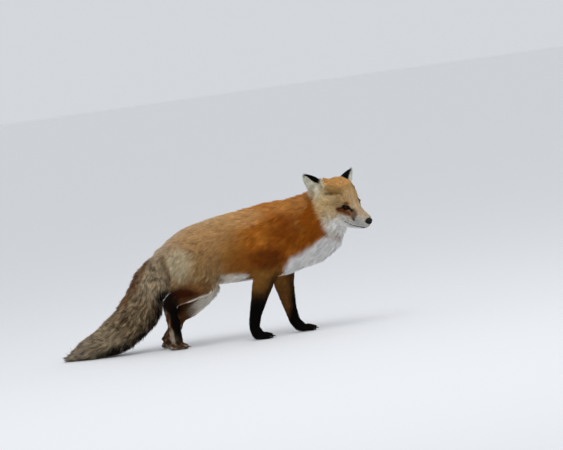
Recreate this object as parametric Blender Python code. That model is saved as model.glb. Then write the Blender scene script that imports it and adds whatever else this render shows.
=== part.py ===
"""Red fox, life size, in mid-stride: a still model whose solids run out to the tips of the winter coat.

Metres, +Z up. The fox walks along +X, its left side is +Y, and its four feet and the end of its tail
rest on flats at Z = 0. The body is lofted as masses, melted into one surface, and parted with thin cuts.
"""

import math

import bmesh
import bpy
import numpy as np
from mathutils import Matrix, Vector

UP = Vector((0, 0, 1))
FORWARD = Vector((1, 0, 0))
RIGHT, LEFT = -1, 1
SIDE_NAME = {RIGHT: "right", LEFT: "left"}

# ---- How the surface is made ----
RING_SIDES = 28
RINGS_BETWEEN = 5  # rings of a loft from one station to the next
BLEND_VOXEL = 0.0025
BODY_BLEND_PASSES = 16  # smoothing passes that melt the body's masses together
FINE_BLEND_PASSES = 5  # the same on the head and feet, whose forms are small
BODY_TRIANGLES = 2150
CUT = 0.0004  # width of the cuts that part the body
SOCKET_GAP = 0.0004  # room round the eyes, nose and ears

# ---- Trunk, neck and tail: x, y, z of the centre, half depth, half width ----
TRUNK = [
    (-0.158, 0, 0.282, 0.018, 0.020),
    (-0.145, 0, 0.278, 0.036, 0.044),
    (-0.120, 0, 0.271, 0.057, 0.060),
    (-0.080, 0, 0.268, 0.077, 0.071),
    (-0.030, 0, 0.271, 0.092, 0.076),
    (0.030, 0, 0.275, 0.101, 0.078),
    (0.100, 0, 0.280, 0.107, 0.080),
    (0.160, 0, 0.285, 0.111, 0.081),
    (0.220, 0, 0.290, 0.114, 0.079),
    (0.265, 0, 0.295, 0.110, 0.075),
    (0.300, 0, 0.302, 0.100, 0.068),
    (0.330, 0, 0.308, 0.076, 0.053),
]
NECK = [
    (0.235, 0, 0.295, 0.092, 0.070),
    (0.300, 0, 0.301, 0.108, 0.077),
    (0.350, 0, 0.323, 0.103, 0.075),
    (0.388, -0.006, 0.347, 0.086, 0.070),
    (0.418, -0.018, 0.362, 0.064, 0.058),
    (0.438, -0.028, 0.366, 0.030, 0.030),
]
TAIL = [
    (-0.118, 0, 0.283, 0.024, 0.026),
    (-0.143, 0, 0.253, 0.045, 0.038),
    (-0.162, 0, 0.217, 0.063, 0.050),
    (-0.193, 0, 0.180, 0.060, 0.057),
    (-0.217, 0, 0.134, 0.068, 0.062),
    (-0.256, 0, 0.094, 0.064, 0.062),
    (-0.304, 0, 0.063, 0.057, 0.060),
    (-0.352, 0, 0.042, 0.045, 0.052),
    (-0.398, 0, 0.029, 0.033, 0.040),
    (-0.436, 0, 0.017, 0.020, 0.025),
    (-0.460, 0, 0.008, 0.009, 0.011),
]

# ---- Legs: where each joint stands, and the sizes that both sides share ----
FRONT_JOINTS = {  # shoulder, elbow, wrist, ball of the foot
    RIGHT: [(0.250, -0.040, 0.330), (0.190, -0.055, 0.205), (0.1320, -0.049, 0.062), (0.134, -0.048, 0.014)],
    LEFT: [(0.260, 0.040, 0.330), (0.217, 0.055, 0.192), (0.2290, 0.049, 0.056), (0.248, 0.048, 0.014)],
}
FRONT_SIZES = [  # joints down the leg, half depth, half width
    (0.00, 0.050, 0.030),
    (0.35, 0.064, 0.036),
    (0.70, 0.053, 0.032),
    (1.00, 0.040, 0.027),
    (1.25, 0.033, 0.0235),
    (1.50, 0.0275, 0.0200),
    (1.75, 0.0225, 0.0175),
    (2.00, 0.0195, 0.0165),
    (2.50, 0.0178, 0.0165),
    (3.00, 0.0185, 0.0180),
]
THIGH_JOINTS = {  # hip, belly of the thigh, knee
    RIGHT: [(-0.060, -0.035, 0.325), (-0.037, -0.051, 0.250), (-0.004, -0.050, 0.176)],
    LEFT: [(-0.060, 0.035, 0.325), (-0.042, 0.051, 0.250), (-0.014, 0.050, 0.168)],
}
THIGH_SIZES = [
    (0.00, 0.034, 0.025),
    (0.50, 0.061, 0.036),
    (1.00, 0.072, 0.037),
    (1.35, 0.079, 0.035),
    (1.70, 0.066, 0.030),
    (2.00, 0.034, 0.022),
]
SHANK_JOINTS = {  # knee, middle of the shank, hock
    RIGHT: [(0.030, -0.052, 0.192), (-0.045, -0.055, 0.171), (-0.128, -0.051, 0.147)],
    LEFT: [(0.012, 0.052, 0.186), (-0.050, 0.055, 0.140), (-0.111, 0.051, 0.092)],
}
SHANK_SIZES = {  # the left one is seen broader, with its fringe towards the front
    RIGHT: [
        (0.00, 0.020, 0.018),
        (0.30, 0.031, 0.026),
        (0.80, 0.033, 0.027),
        (1.30, 0.031, 0.022),
        (1.70, 0.024, 0.018),
        (2.00, 0.013, 0.012),
    ],
    LEFT: [
        (0.00, 0.022, 0.018),
        (0.30, 0.034, 0.026),
        (0.80, 0.038, 0.027),
        (1.30, 0.036, 0.024),
        (1.70, 0.031, 0.021),
        (2.00, 0.020, 0.015),
    ],
}
FOOT_JOINTS = {  # hock, middle of the hind foot, its ball
    RIGHT: [(-0.1275, -0.051, 0.156), (-0.115, -0.050, 0.090), (-0.112, -0.050, 0.018)],
    LEFT: [(-0.106, 0.051, 0.104), (-0.132, 0.050, 0.060), (-0.168, 0.050, 0.018)],
}
FOOT_SIZES = [
    (0.00, 0.012, 0.012),
    (0.15, 0.0180, 0.0155),
    (0.50, 0.0205, 0.0165),
    (1.00, 0.0220, 0.0170),
    (1.60, 0.0205, 0.0170),
    (2.00, 0.0185, 0.0180),
]
PAW_HEELS = {  # the back of each paw, on the floor
    ("front", RIGHT): (0.1235, -0.048),
    ("front", LEFT): (0.2400, 0.048),
    ("hind", RIGHT): (-0.1360, -0.050),
    ("hind", LEFT): (-0.1790, 0.050),
}
PAW_PAD = ((0.023, 0, 0.010), (0.029, 0.0180, 0.0135))  # centre from the heel, radii
TOES = [(-0.0140, 0.039), (-0.0050, 0.047), (0.0050, 0.047), (0.0140, 0.039)]  # aside and ahead of the heel
TOE_HEIGHT = 0.0080
TOE_RADII = (0.0125, 0.0062, 0.0100)
PAWS_FROM, PAW_TOP = -0.200, 0.040  # the feet lie ahead of this and below this

# ---- Head, in its own frame: x to the nose, y to its left, z to its crown, from midway between the eyes ----
HEAD_AT = Vector((0.469, -0.045, 0.3585))
HEAD_YAW, HEAD_PITCH, HEAD_ROLL = math.radians(-34), math.radians(-21), math.radians(3)
HEAD_STATIONS = [  # x, top, widest level, bottom, half width, squareness
    (0.0760, -0.0205, -0.0270, -0.0350, 0.0060, 2.0),
    (0.0730, -0.0150, -0.0280, -0.0410, 0.0110, 2.0),
    (0.0660, -0.0090, -0.0290, -0.0480, 0.0150, 2.2),
    (0.0540, -0.0045, -0.0310, -0.0545, 0.0180, 2.3),
    (0.0400, 0.0000, -0.0320, -0.0590, 0.0205, 2.2),
    (0.0270, 0.0060, -0.0310, -0.0630, 0.0240, 2.1),
    (0.0140, 0.0155, -0.0290, -0.0660, 0.0280, 2.0),
    (0.0000, 0.0320, -0.0250, -0.0690, 0.0345, 2.0),
    (-0.0180, 0.0500, -0.0200, -0.0710, 0.0475, 2.2),
    (-0.0370, 0.0620, -0.0160, -0.0730, 0.0585, 2.4),
    (-0.0560, 0.0680, -0.0140, -0.0740, 0.0645, 2.5),
    (-0.0750, 0.0680, -0.0120, -0.0740, 0.0655, 2.4),
    (-0.0940, 0.0610, -0.0120, -0.0710, 0.0610, 2.2),
    (-0.1100, 0.0450, -0.0120, -0.0580, 0.0470, 2.0),
    (-0.1200, 0.0220, -0.0120, -0.0350, 0.0240, 2.0),
]
FACE_FROM, FACE_REACH = -0.05, 0.11  # the face lies ahead of this and within this of the head's axis
HEAD_EGGS = [  # centre of the left one of each pair, radii
    ((-0.012, 0.0240, 0.0105), (0.019, 0.015, 0.0085)),  # brow
    ((0.052, 0.009, -0.031), (0.020, 0.010, 0.0135)),  # whisker pad
    ((-0.062, 0.046, -0.028), (0.030, 0.022, 0.030)),  # cheek ruff
    ((-0.062, 0.040, 0.022), (0.020, 0.018, 0.022)),  # root of the ear
]
EYE_AT = Vector((-0.0020, 0.0255, 0.0000))
EYE_RADIUS = 0.0085
NOSE_AT = Vector((0.0675, 0, -0.0252))
NOSE_RADII = (0.0112, 0.0118, 0.0096)
MOUTH = [(0.095, -0.0425), (0.058, -0.0470), (0.030, -0.0460), (0.008, -0.0400)]  # x, z along the lips
THROAT = [(0.002, -0.0530), (0.012, -0.0900)]  # x, z behind the lower jaw

EAR_BASE = Vector((-0.077, 0.060, 0.011))
EAR_TIPS = {RIGHT: Vector((-0.123, -0.095, 0.079)), LEFT: Vector((-0.116, 0.114, 0.0610))}
EAR_FACES = {RIGHT: Vector((0.56, -0.76, -0.34)), LEFT: Vector((0.25, 0.92, -0.30))}  # the way each cup opens
EAR_SIZES = [  # share of the way to the tip, half width, depth of the cup
    (-0.18, 0.0210, 0.0170),
    (0.00, 0.0265, 0.0220),
    (0.22, 0.0268, 0.0225),
    (0.44, 0.0230, 0.0190),
    (0.64, 0.0178, 0.0140),
    (0.82, 0.0122, 0.0095),
    (0.94, 0.0075, 0.0060),
    (1.00, 0.0036, 0.0036),
]
EAR_WALL = 0.0050
EAR_ARC_POINTS = 9
EAR_RINGS_BETWEEN = 2

# ---- Where the cuts pass ----
SHEET_CUTS = {  # points in X and Z, half width along Y
    "neck": ([(0.205, 0.450), (0.262, 0.300), (0.330, 0.140)], 0.13),
    "chest": ([(0.127, 0.450), (0.127, 0.120)], 0.13),
    "loin": ([(0.068, 0.450), (0.068, 0.120)], 0.13),
    "tail_root": ([(-0.160, 0.345), (-0.119, 0.232), (-0.113, 0.200), (-0.112, 0.180)], 0.075),
    "tail_middle": ([(-0.270, 0.225), (-0.130, 0.150)], 0.10),
    "tail_brush": ([(-0.330, 0.160), (-0.230, 0.010), (-0.226, -0.010)], 0.10),
    "tail_tip": ([(-0.385, 0.100), (-0.355, -0.020)], 0.10),
}
ARCH_STEPS = 10
LEG_INSIDE, LEG_OUTSIDE = 0.020, 0.130
FRONT_ARCHES = {  # from and to along X, where the arch springs from, its top, where its two feet end
    RIGHT: ((0.135, 0.252), 0.195, 0.250, (0.150, 0.150)),
    LEFT: ((0.160, 0.275), 0.195, 0.250, (0.150, 0.150)),
}
THIGH_ARCHES = {
    RIGHT: ((-0.112, 0.062), 0.215, 0.300, (0.186, 0.160)),
    LEFT: ((-0.112, 0.050), 0.215, 0.300, (0.186, 0.150)),
}
LEG_CUTS = {  # points in X and Z
    RIGHT: {
        "elbow": [(0.100, 0.150), (0.230, 0.140)],
        "wrist": [(0.090, 0.040), (0.170, 0.034)],
        "knee": [(-0.108, 0.186), (-0.030, 0.196), (0.060, 0.160)],
        "hock": [(-0.160, 0.173), (-0.085, 0.105)],
        "hind_foot": [(-0.160, 0.036), (-0.070, 0.036)],
    },
    LEFT: {
        "elbow": [(0.150, 0.138), (0.290, 0.138)],
        "wrist": [(0.190, 0.034), (0.275, 0.036)],
        "knee": [(-0.108, 0.186), (-0.050, 0.190), (0.045, 0.150)],
        "hock": [(-0.145, 0.128), (-0.070, 0.052)],
        "hind_foot": [(-0.220, 0.042), (-0.105, 0.034)],
    },
}
HEAD_CUT = [(-0.100, 0.120), (-0.098, -0.030), (-0.060, -0.078), (0.050, -0.100)]  # x, z in the head's frame
HEAD_CUT_REACH, JAW_CUT_REACH = 0.18, 0.05

# ---- The parts: a point near the middle of each, and the colour of its coat ----
PARTS = {
    "head": ((0.457, -0.039, 0.355), "tan"),
    "lower_jaw": ((0.476, -0.047, 0.299), "white"),
    "neck": ((0.362, -0.002, 0.351), "rust"),
    "chest": ((0.205, 0.000, 0.280), "rust"),
    "loin": ((0.098, 0.000, 0.280), "rust"),
    "rump": ((-0.050, 0.000, 0.280), "tan"),
    "tail_root": ((-0.172, 0.000, 0.235), "grizzled"),
    "tail_middle": ((-0.233, 0.000, 0.131), "grizzled"),
    "tail_brush": ((-0.321, 0.000, 0.053), "grizzled"),
    "tail_tip": ((-0.394, 0.000, 0.029), "tan"),
    "foreleg_right_upper": ((0.184, -0.053, 0.191), "brown"),
    "foreleg_left_upper": ((0.219, 0.052, 0.188), "brown"),
    "foreleg_right_lower": ((0.148, -0.051, 0.096), "black"),
    "foreleg_left_lower": ((0.227, 0.052, 0.089), "black"),
    "forepaw_right": ((0.149, -0.049, 0.015), "black"),
    "forepaw_left": ((0.258, 0.049, 0.016), "black"),
    "thigh_right": ((-0.025, -0.058, 0.228), "tan"),
    "thigh_left": ((-0.029, 0.056, 0.220), "tan"),
    "shank_right": ((-0.066, -0.050, 0.163), "brown"),
    "shank_left": ((-0.057, 0.050, 0.148), "brown"),
    "hind_foot_right": ((-0.118, -0.050, 0.089), "black"),
    "hind_foot_left": ((-0.134, 0.049, 0.071), "black"),
    "hind_paw_right": ((-0.106, -0.049, 0.013), "black"),
    "hind_paw_left": ((-0.154, 0.050, 0.013), "black"),
}
COLOURS = {
    "rust": (0.420, 0.160, 0.045, 1),
    "tan": (0.440, 0.300, 0.160, 1),
    "grizzled": (0.230, 0.170, 0.110, 1),
    "brown": (0.200, 0.085, 0.035, 1),
    "white": (0.720, 0.690, 0.640, 1),
    "black": (0.018, 0.015, 0.013, 1),
    "amber": (0.150, 0.065, 0.018, 1),
}
COAT_ROUGHNESS, NOSE_ROUGHNESS, EYE_ROUGHNESS = 0.85, 0.35, 0.06


def head_frame():
    """The head's own axes in the world: x to the nose, y to its left, z to its crown."""
    turn = Matrix.Rotation(HEAD_YAW, 4, "Z")
    nod = Matrix.Rotation(-HEAD_PITCH, 4, "Y")
    tilt = Matrix.Rotation(HEAD_ROLL, 4, "X")
    return Matrix.Translation(HEAD_AT) @ turn @ nod @ tilt


HEAD_FRAME = head_frame()


def mirrored(point, side):
    """A point given for the left side, on the side asked for."""
    return Vector((point[0], side * point[1], point[2]))


def clear_scene():
    for thing in list(bpy.data.objects):
        bpy.data.objects.remove(thing, do_unlink=True)


def as_object(name, form):
    mesh = bpy.data.meshes.new(name)
    form.to_mesh(mesh)
    form.free()
    thing = bpy.data.objects.new(name, mesh)
    bpy.context.scene.collection.objects.link(thing)
    return thing


def on_curve(rows, at):
    """A row read at a place along a Catmull-Rom curve through the given rows, which are one apart."""
    rows = np.array(rows, float)
    padded = np.vstack([2 * rows[0] - rows[1], rows, 2 * rows[-1] - rows[-2]])
    k = min(int(at), len(rows) - 2)
    a, b, c, d = padded[k:k + 4]
    t = at - k
    return 0.5 * (2 * b + (c - a) * t + (2 * a - 5 * b + 4 * c - d) * t**2 + (3 * b - a - 3 * c + d) * t**3)


def many_rows(rows, between=RINGS_BETWEEN):
    """The rows with others added between them, on the curve."""
    return [on_curve(rows, at) for at in np.linspace(0, len(rows) - 1, (len(rows) - 1) * between + 1)]


def limb_stations(joints, sizes):
    """Stations of a limb: its joints give the line, and sizes are given at places counted in joints."""
    stations = []
    for at, deep, wide in many_rows(sizes):
        stations.append((*on_curve(joints, at), deep, wide))
    return stations


def skin_rings(name, rings):
    """A closed tube through rings of points, each with as many points as the others."""
    form = bmesh.new()
    loops = [[form.verts.new(point) for point in ring] for ring in rings]
    for low, high in zip(loops, loops[1:]):
        for i in range(len(low)):
            j = (i + 1) % len(low)
            form.faces.new((low[i], low[j], high[j], high[i]))
    form.faces.new(loops[0][::-1])
    form.faces.new(loops[-1])
    bmesh.ops.recalc_face_normals(form, faces=form.faces)
    return as_object(name, form)


def loft(name, stations, depth_hint):
    """A tube along the stations' centres. Half depth is measured along depth_hint, half width across it."""
    centres = [Vector(row[:3]) for row in stations]
    rings = []
    for k, row in enumerate(stations):
        along = (centres[min(k + 1, len(centres) - 1)] - centres[max(k - 1, 0)]).normalized()
        deep = (depth_hint - along * depth_hint.dot(along)).normalized()
        wide = along.cross(deep)
        deep *= row[3]
        wide *= row[4]
        turns = [2 * math.pi * i / RING_SIDES for i in range(RING_SIDES)]
        rings.append([centres[k] + deep * math.sin(t) + wide * math.cos(t) for t in turns])
    return skin_rings(name, rings)


def egg(name, centre, radii, frame=Matrix.Identity(4), grown=0.0, detail=3):
    """An ellipsoid in the given frame."""
    form = bmesh.new()
    bmesh.ops.create_icosphere(form, subdivisions=detail, radius=1)
    size = Matrix.Diagonal((*(r + grown for r in radii), 1))
    bmesh.ops.transform(form, matrix=frame @ Matrix.Translation(centre) @ size, verts=form.verts)
    return as_object(name, form)


def head_masses():
    """The skull and muzzle lofted along the head's axis, with brows, whisker pads, cheeks and ear roots."""
    rings = []
    for x, top, level, bottom, wide, square in many_rows(HEAD_STATIONS):
        ring = []
        for i in range(RING_SIDES):
            t = 2 * math.pi * i / RING_SIDES
            across = math.copysign(abs(math.cos(t)) ** (2 / square), math.cos(t)) * wide
            rise = math.copysign(abs(math.sin(t)) ** (2 / square), math.sin(t))
            rise *= (top - level) if rise > 0 else (level - bottom)
            ring.append(HEAD_FRAME @ Vector((x, across, level + rise)))
        rings.append(ring)
    masses = [skin_rings("skull_form", rings)]
    for centre, radii in HEAD_EGGS:
        for side in (RIGHT, LEFT):
            masses.append(egg("head_egg", mirrored(centre, side), radii, HEAD_FRAME))
    return masses


def paw_masses(heel):
    """A paw with four toes, on the floor."""
    heel = Vector((*heel, 0))
    centre, radii = PAW_PAD
    masses = [egg("paw_form", heel + Vector(centre), radii)]
    for aside, ahead in TOES:
        masses.append(egg("toe_form", heel + Vector((ahead, aside, TOE_HEIGHT)), TOE_RADII))
    return masses


def body_masses():
    masses = [loft("trunk_form", many_rows(TRUNK), UP), loft("neck_form", many_rows(NECK), UP)]
    masses.append(loft("tail_form", many_rows(TAIL), UP))
    for side in (RIGHT, LEFT):
        masses.append(loft("front_leg_form", limb_stations(FRONT_JOINTS[side], FRONT_SIZES), FORWARD))
        masses.append(loft("thigh_form", limb_stations(THIGH_JOINTS[side], THIGH_SIZES), FORWARD))
        masses.append(loft("shank_form", limb_stations(SHANK_JOINTS[side], SHANK_SIZES[side]), UP))
        masses.append(loft("hind_foot_form", limb_stations(FOOT_JOINTS[side], FOOT_SIZES), FORWARD))
    for heel in PAW_HEELS.values():
        masses += paw_masses(heel)
    return masses + head_masses()


def join(things, name):
    form = bmesh.new()
    for thing in things:
        form.from_mesh(thing.data)
        bpy.data.objects.remove(thing)
    return as_object(name, form)


def apply_modifiers(thing):
    bpy.context.view_layer.update()
    graph = bpy.context.evaluated_depsgraph_get()
    mesh = bpy.data.meshes.new_from_object(thing.evaluated_get(graph))
    thing.modifiers.clear()
    thing.data = mesh


def on_face(point):
    ahead = HEAD_FRAME.inverted() @ point
    return ahead.x > FACE_FROM and ahead.yz.length < FACE_REACH


def on_foot(point):
    return point.z < PAW_TOP and point.x > PAWS_FROM


def blend(thing):
    """Melts the joined masses into one surface and lets it rest on flats at Z = 0."""
    remesh = thing.modifiers.new("one_surface", "REMESH")
    remesh.mode = "VOXEL"
    remesh.voxel_size = BLEND_VOXEL
    apply_modifiers(thing)
    form = bmesh.new()
    form.from_mesh(thing.data)
    coarse = [v for v in form.verts if not on_face(v.co) and not on_foot(v.co)]
    every_axis = {"use_axis_x": True, "use_axis_y": True, "use_axis_z": True}
    for verts, passes in ((coarse, BODY_BLEND_PASSES), (form.verts, FINE_BLEND_PASSES)):
        for _ in range(passes):
            bmesh.ops.smooth_vert(form, verts=verts, factor=0.5, **every_axis)
    form.to_mesh(thing.data)
    form.free()


def thin_out(thing, triangles):
    fewer = thing.modifiers.new("fewer", "DECIMATE")
    fewer.ratio = triangles / sum(len(face.vertices) - 2 for face in thing.data.polygons)
    fewer.use_collapse_triangulate = True
    apply_modifiers(thing)


def flatten_soles(thing):
    form = bmesh.new()
    form.from_mesh(thing.data)
    everything = form.verts[:] + form.edges[:] + form.faces[:]
    floor = {"plane_co": (0, 0, 0), "plane_no": UP, "clear_inner": True, "dist": 1e-5}
    cut = bmesh.ops.bisect_plane(form, geom=everything, **floor)
    edges = [e for e in cut["geom_cut"] if isinstance(e, bmesh.types.BMEdge)]
    bmesh.ops.holes_fill(form, edges=edges)
    bmesh.ops.triangulate(form, faces=form.faces)
    form.to_mesh(thing.data)
    form.free()


def sheet(name, line, low, high, frame=Matrix.Identity(4)):
    """A thin cutter: a line in X and Z, drawn out along Y."""
    form = bmesh.new()
    rows = [[form.verts.new(frame @ Vector((x, y, z))) for y in (low, high)] for x, z in line]
    for near, far in zip(rows, rows[1:]):
        form.faces.new((near[0], near[1], far[1], far[0]))
    return thickened(name, form)


def arch(name, span, spring, top, foot, depths):
    """A thin cutter like a doorway with a back wall, over the top of a leg."""
    middle, reach = sum(span) / 2, (span[1] - span[0]) / 2
    turns = [math.pi * k / ARCH_STEPS for k in range(ARCH_STEPS + 1)]
    line = [(middle - reach * math.cos(t), spring + (top - spring) * math.sin(t)) for t in turns]
    line = [(span[0], foot[0])] + line + [(span[1], foot[1])]
    form = bmesh.new()
    back, front = [[form.verts.new((x, y, z)) for x, z in line] for y in depths]
    for i in range(len(line) - 1):
        form.faces.new((back[i], back[i + 1], front[i + 1], front[i]))
    form.faces.new(back)
    return thickened(name, form)


def thickened(name, form):
    bmesh.ops.recalc_face_normals(form, faces=form.faces)
    cutter = as_object(name, form)
    wall = cutter.modifiers.new("thick", "SOLIDIFY")
    wall.thickness = CUT
    wall.offset = 0
    wall.use_even_offset = True
    apply_modifiers(cutter)
    return cutter


def cut_away(thing, cutter):
    """Takes the cutter out of the thing and removes it."""
    cut = thing.modifiers.new("cut", "BOOLEAN")
    cut.operation = "DIFFERENCE"
    cut.object = cutter
    apply_modifiers(thing)
    bpy.data.objects.remove(cutter)


def ear(side, grown=0.0):
    """One cupped ear, grown outwards by the gap where it is used to cut its own socket."""
    base, tip = mirrored(EAR_BASE, side), EAR_TIPS[side]
    along = (tip - base).normalized()
    facing = (EAR_FACES[side] - along * EAR_FACES[side].dot(along)).normalized()
    wide = along.cross(facing)
    rings = []
    for share, half, cup in many_rows(EAR_SIZES, EAR_RINGS_BETWEEN):
        wall = min(EAR_WALL, 0.7 * half, 0.8 * cup + 0.0006)
        turns = [math.pi * k / (EAR_ARC_POINTS - 1) for k in range(EAR_ARC_POINTS)]
        centre = base.lerp(tip, share) - facing * (cup * 0.5)
        outer = [(half * math.cos(t), -cup * math.sin(t)) for t in turns]
        inner = [((half - wall) * math.cos(t), (wall - cup) * math.sin(t)) for t in reversed(turns)]
        rings.append([HEAD_FRAME @ (centre + wide * a + facing * b) for a, b in outer + inner])
    thing = skin_rings(f"ear_{SIDE_NAME[side]}", rings)
    if grown:
        form = bmesh.new()
        form.from_mesh(thing.data)
        form.normal_update()
        moved = {v: v.co + v.normal * grown for v in form.verts}
        for v, place in moved.items():
            v.co = place
        form.to_mesh(thing.data)
        form.free()
    return thing


def part_the_body(thing):
    """Cuts the body into its parts, still in one object."""
    for side in (RIGHT, LEFT):
        cut_away(thing, ear(side, SOCKET_GAP))
        cut_away(thing, egg("eye_socket", mirrored(EYE_AT, side), [EYE_RADIUS] * 3, HEAD_FRAME, SOCKET_GAP))
        depths = (side * LEG_INSIDE, side * LEG_OUTSIDE)
        for name, arches in (("shoulder", FRONT_ARCHES), ("haunch", THIGH_ARCHES)):
            cut_away(thing, arch(name, *arches[side], depths))
        for name, line in LEG_CUTS[side].items():
            cut_away(thing, sheet(name, line, *depths))
    cut_away(thing, egg("nose_socket", NOSE_AT, NOSE_RADII, HEAD_FRAME, SOCKET_GAP))
    for name, (line, reach) in SHEET_CUTS.items():
        cut_away(thing, sheet(name, line, -reach, reach))
    cut_away(thing, sheet("head", HEAD_CUT, -HEAD_CUT_REACH, HEAD_CUT_REACH, HEAD_FRAME))
    cut_away(thing, sheet("jaw", MOUTH + THROAT, -JAW_CUT_REACH, JAW_CUT_REACH, HEAD_FRAME))


def loose_parts(thing):
    """Each connected piece of the mesh as an object of its own."""
    form = bmesh.new()
    form.from_mesh(thing.data)
    form.verts.index_update()
    bpy.data.objects.remove(thing)
    unseen = set(form.verts)
    pieces = []
    while unseen:
        island, edge = set(), {unseen.pop()}
        while edge:
            island |= edge
            edge = {e.other_vert(v) for v in edge for e in v.link_edges} - island
        unseen -= island
        kept = {v.index for v in island}
        piece = form.copy()
        bmesh.ops.delete(piece, geom=[v for v in piece.verts if v.index not in kept], context="VERTS")
        bmesh.ops.triangulate(piece, faces=piece.faces)
        pieces.append(as_object("piece", piece))
    form.free()
    return pieces


def middle(thing):
    corners = [Vector(corner) for corner in thing.bound_box]
    return (corners[0] + corners[6]) / 2


def name_parts(pieces):
    """Each part is the piece whose middle is nearest to the part's own point."""
    named = {}
    for name, (place, _) in PARTS.items():
        piece = min(pieces, key=lambda thing: (middle(thing) - Vector(place)).length)
        pieces.remove(piece)
        piece.name = name
        named[name] = piece
    assert not pieces, "a piece has no name"
    return named


def paint(thing, colour, roughness):
    coat = bpy.data.materials.get(colour) or bpy.data.materials.new(colour)
    coat.use_nodes = True
    shader = coat.node_tree.nodes["Principled BSDF"]
    shader.inputs["Base Color"].default_value = COLOURS[colour]
    shader.inputs["Roughness"].default_value = roughness
    coat.diffuse_color = COLOURS[colour]
    thing.data.materials.clear()
    thing.data.materials.append(coat)


def stand_on_origin(things):
    """Puts each part's origin in its own middle and the fox over the world's, under one empty."""
    bpy.context.view_layer.update()
    corners = np.array([corner[:] for thing in things for corner in thing.bound_box])
    low, high = corners.min(axis=0), corners.max(axis=0)
    shift = Vector((-(low[0] + high[0]) / 2, -(low[1] + high[1]) / 2, -low[2]))
    fox = bpy.data.objects.new("fox", None)
    bpy.context.scene.collection.objects.link(fox)
    for thing in things:
        place = middle(thing)
        thing.data.transform(Matrix.Translation(-place))
        thing.location = place + shift
        thing.parent = fox


clear_scene()
whole = join(body_masses(), "whole")
blend(whole)
thin_out(whole, BODY_TRIANGLES)
flatten_soles(whole)
part_the_body(whole)
parts = name_parts(loose_parts(whole))
for name, (_, colour) in PARTS.items():
    paint(parts[name], colour, COAT_ROUGHNESS)
for side in (RIGHT, LEFT):
    paint(ear(side), "black", COAT_ROUGHNESS)
    eye = egg(f"eye_{SIDE_NAME[side]}", mirrored(EYE_AT, side), [EYE_RADIUS] * 3, HEAD_FRAME)
    eye.data.shade_smooth()
    paint(eye, "amber", EYE_ROUGHNESS)
nose = egg("nose", NOSE_AT, NOSE_RADII, HEAD_FRAME)
nose.data.shade_smooth()
paint(nose, "black", NOSE_ROUGHNESS)
stand_on_origin(bpy.context.scene.collection.objects[:])
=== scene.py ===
import math

import bpy
import numpy as np
from mathutils import Matrix, Vector, bvhtree, kdtree, noise


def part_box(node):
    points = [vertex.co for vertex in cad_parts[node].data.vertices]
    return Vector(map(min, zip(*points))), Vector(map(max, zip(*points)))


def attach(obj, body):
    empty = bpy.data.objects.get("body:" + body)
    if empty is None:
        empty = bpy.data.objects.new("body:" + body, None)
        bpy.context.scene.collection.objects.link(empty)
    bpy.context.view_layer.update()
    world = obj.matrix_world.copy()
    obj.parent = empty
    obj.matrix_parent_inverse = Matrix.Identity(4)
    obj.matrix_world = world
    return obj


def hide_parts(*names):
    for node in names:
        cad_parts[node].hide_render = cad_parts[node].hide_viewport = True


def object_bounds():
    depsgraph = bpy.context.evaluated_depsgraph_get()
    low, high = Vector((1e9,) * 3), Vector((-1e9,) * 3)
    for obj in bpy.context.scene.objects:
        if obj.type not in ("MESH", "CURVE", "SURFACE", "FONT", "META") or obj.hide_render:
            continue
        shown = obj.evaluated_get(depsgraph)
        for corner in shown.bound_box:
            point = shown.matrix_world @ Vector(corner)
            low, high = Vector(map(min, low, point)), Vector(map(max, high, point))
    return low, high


# Red fox in its winter coat: one skin, eyes, nose, claws and whiskers, and the coat as solid tufts
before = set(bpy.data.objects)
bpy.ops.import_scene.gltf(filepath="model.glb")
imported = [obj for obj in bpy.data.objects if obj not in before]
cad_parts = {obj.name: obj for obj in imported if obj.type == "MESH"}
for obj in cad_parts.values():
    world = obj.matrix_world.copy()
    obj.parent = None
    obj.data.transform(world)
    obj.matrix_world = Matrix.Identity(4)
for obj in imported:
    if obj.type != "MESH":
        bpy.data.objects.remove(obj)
cadLow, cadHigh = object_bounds()
dice = np.random.default_rng(11)


def linear(hexColour):  # an sRGB hex colour as linear red, green and blue
    shares = [int(hexColour[i:i + 2], 16) / 255 for i in (1, 3, 5)]
    return np.array([s / 12.92 if s <= 0.04045 else ((s + 0.055) / 1.055) ** 2.4 for s in shares])


def mm(values):  # millimetres as metres
    return np.array(values, float) / 1000


def middle(part):
    low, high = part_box(part)
    return (low + high) / 2


def onlySelect(thing):
    bpy.ops.object.select_all(action="DESELECT")
    thing.select_set(True)
    bpy.context.view_layer.objects.active = thing


def applyModifier(thing, kind, **settings):
    onlySelect(thing)
    modifier = thing.modifiers.new(kind.title(), kind)
    for name, value in settings.items():
        setattr(modifier, name, value)
    bpy.ops.object.modifier_apply(modifier=modifier.name)


def addThing(name, data):
    thing = bpy.data.objects.new(name, data)
    bpy.context.scene.collection.objects.link(thing)
    return thing


def joinCopies(copies, name):
    bpy.ops.object.select_all(action="DESELECT")
    for copy in copies:
        copy.select_set(True)
    bpy.context.view_layer.objects.active = copies[0]
    bpy.ops.object.join()
    joined = bpy.context.view_layer.objects.active
    joined.name = joined.data.name = name
    return joined


def readValues(things, name, width=3, kind=float):
    values = np.empty(len(things) * width, kind)
    things.foreach_get(name, values)
    return values.reshape(-1, width)


def readPlaces(thing):
    return readValues(thing.data.vertices, "co")


def writePlaces(thing, places):
    thing.data.vertices.foreach_set("co", np.ascontiguousarray(places, np.float32).ravel())
    thing.data.update()


def readNormals(thing):
    return readValues(thing.data.vertex_normals, "vector")


def cornersOf(part):
    return readPlaces(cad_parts[part])


def unit(vectors):
    return vectors / np.maximum(np.linalg.norm(vectors, axis=1, keepdims=True), 1e-9)


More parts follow.
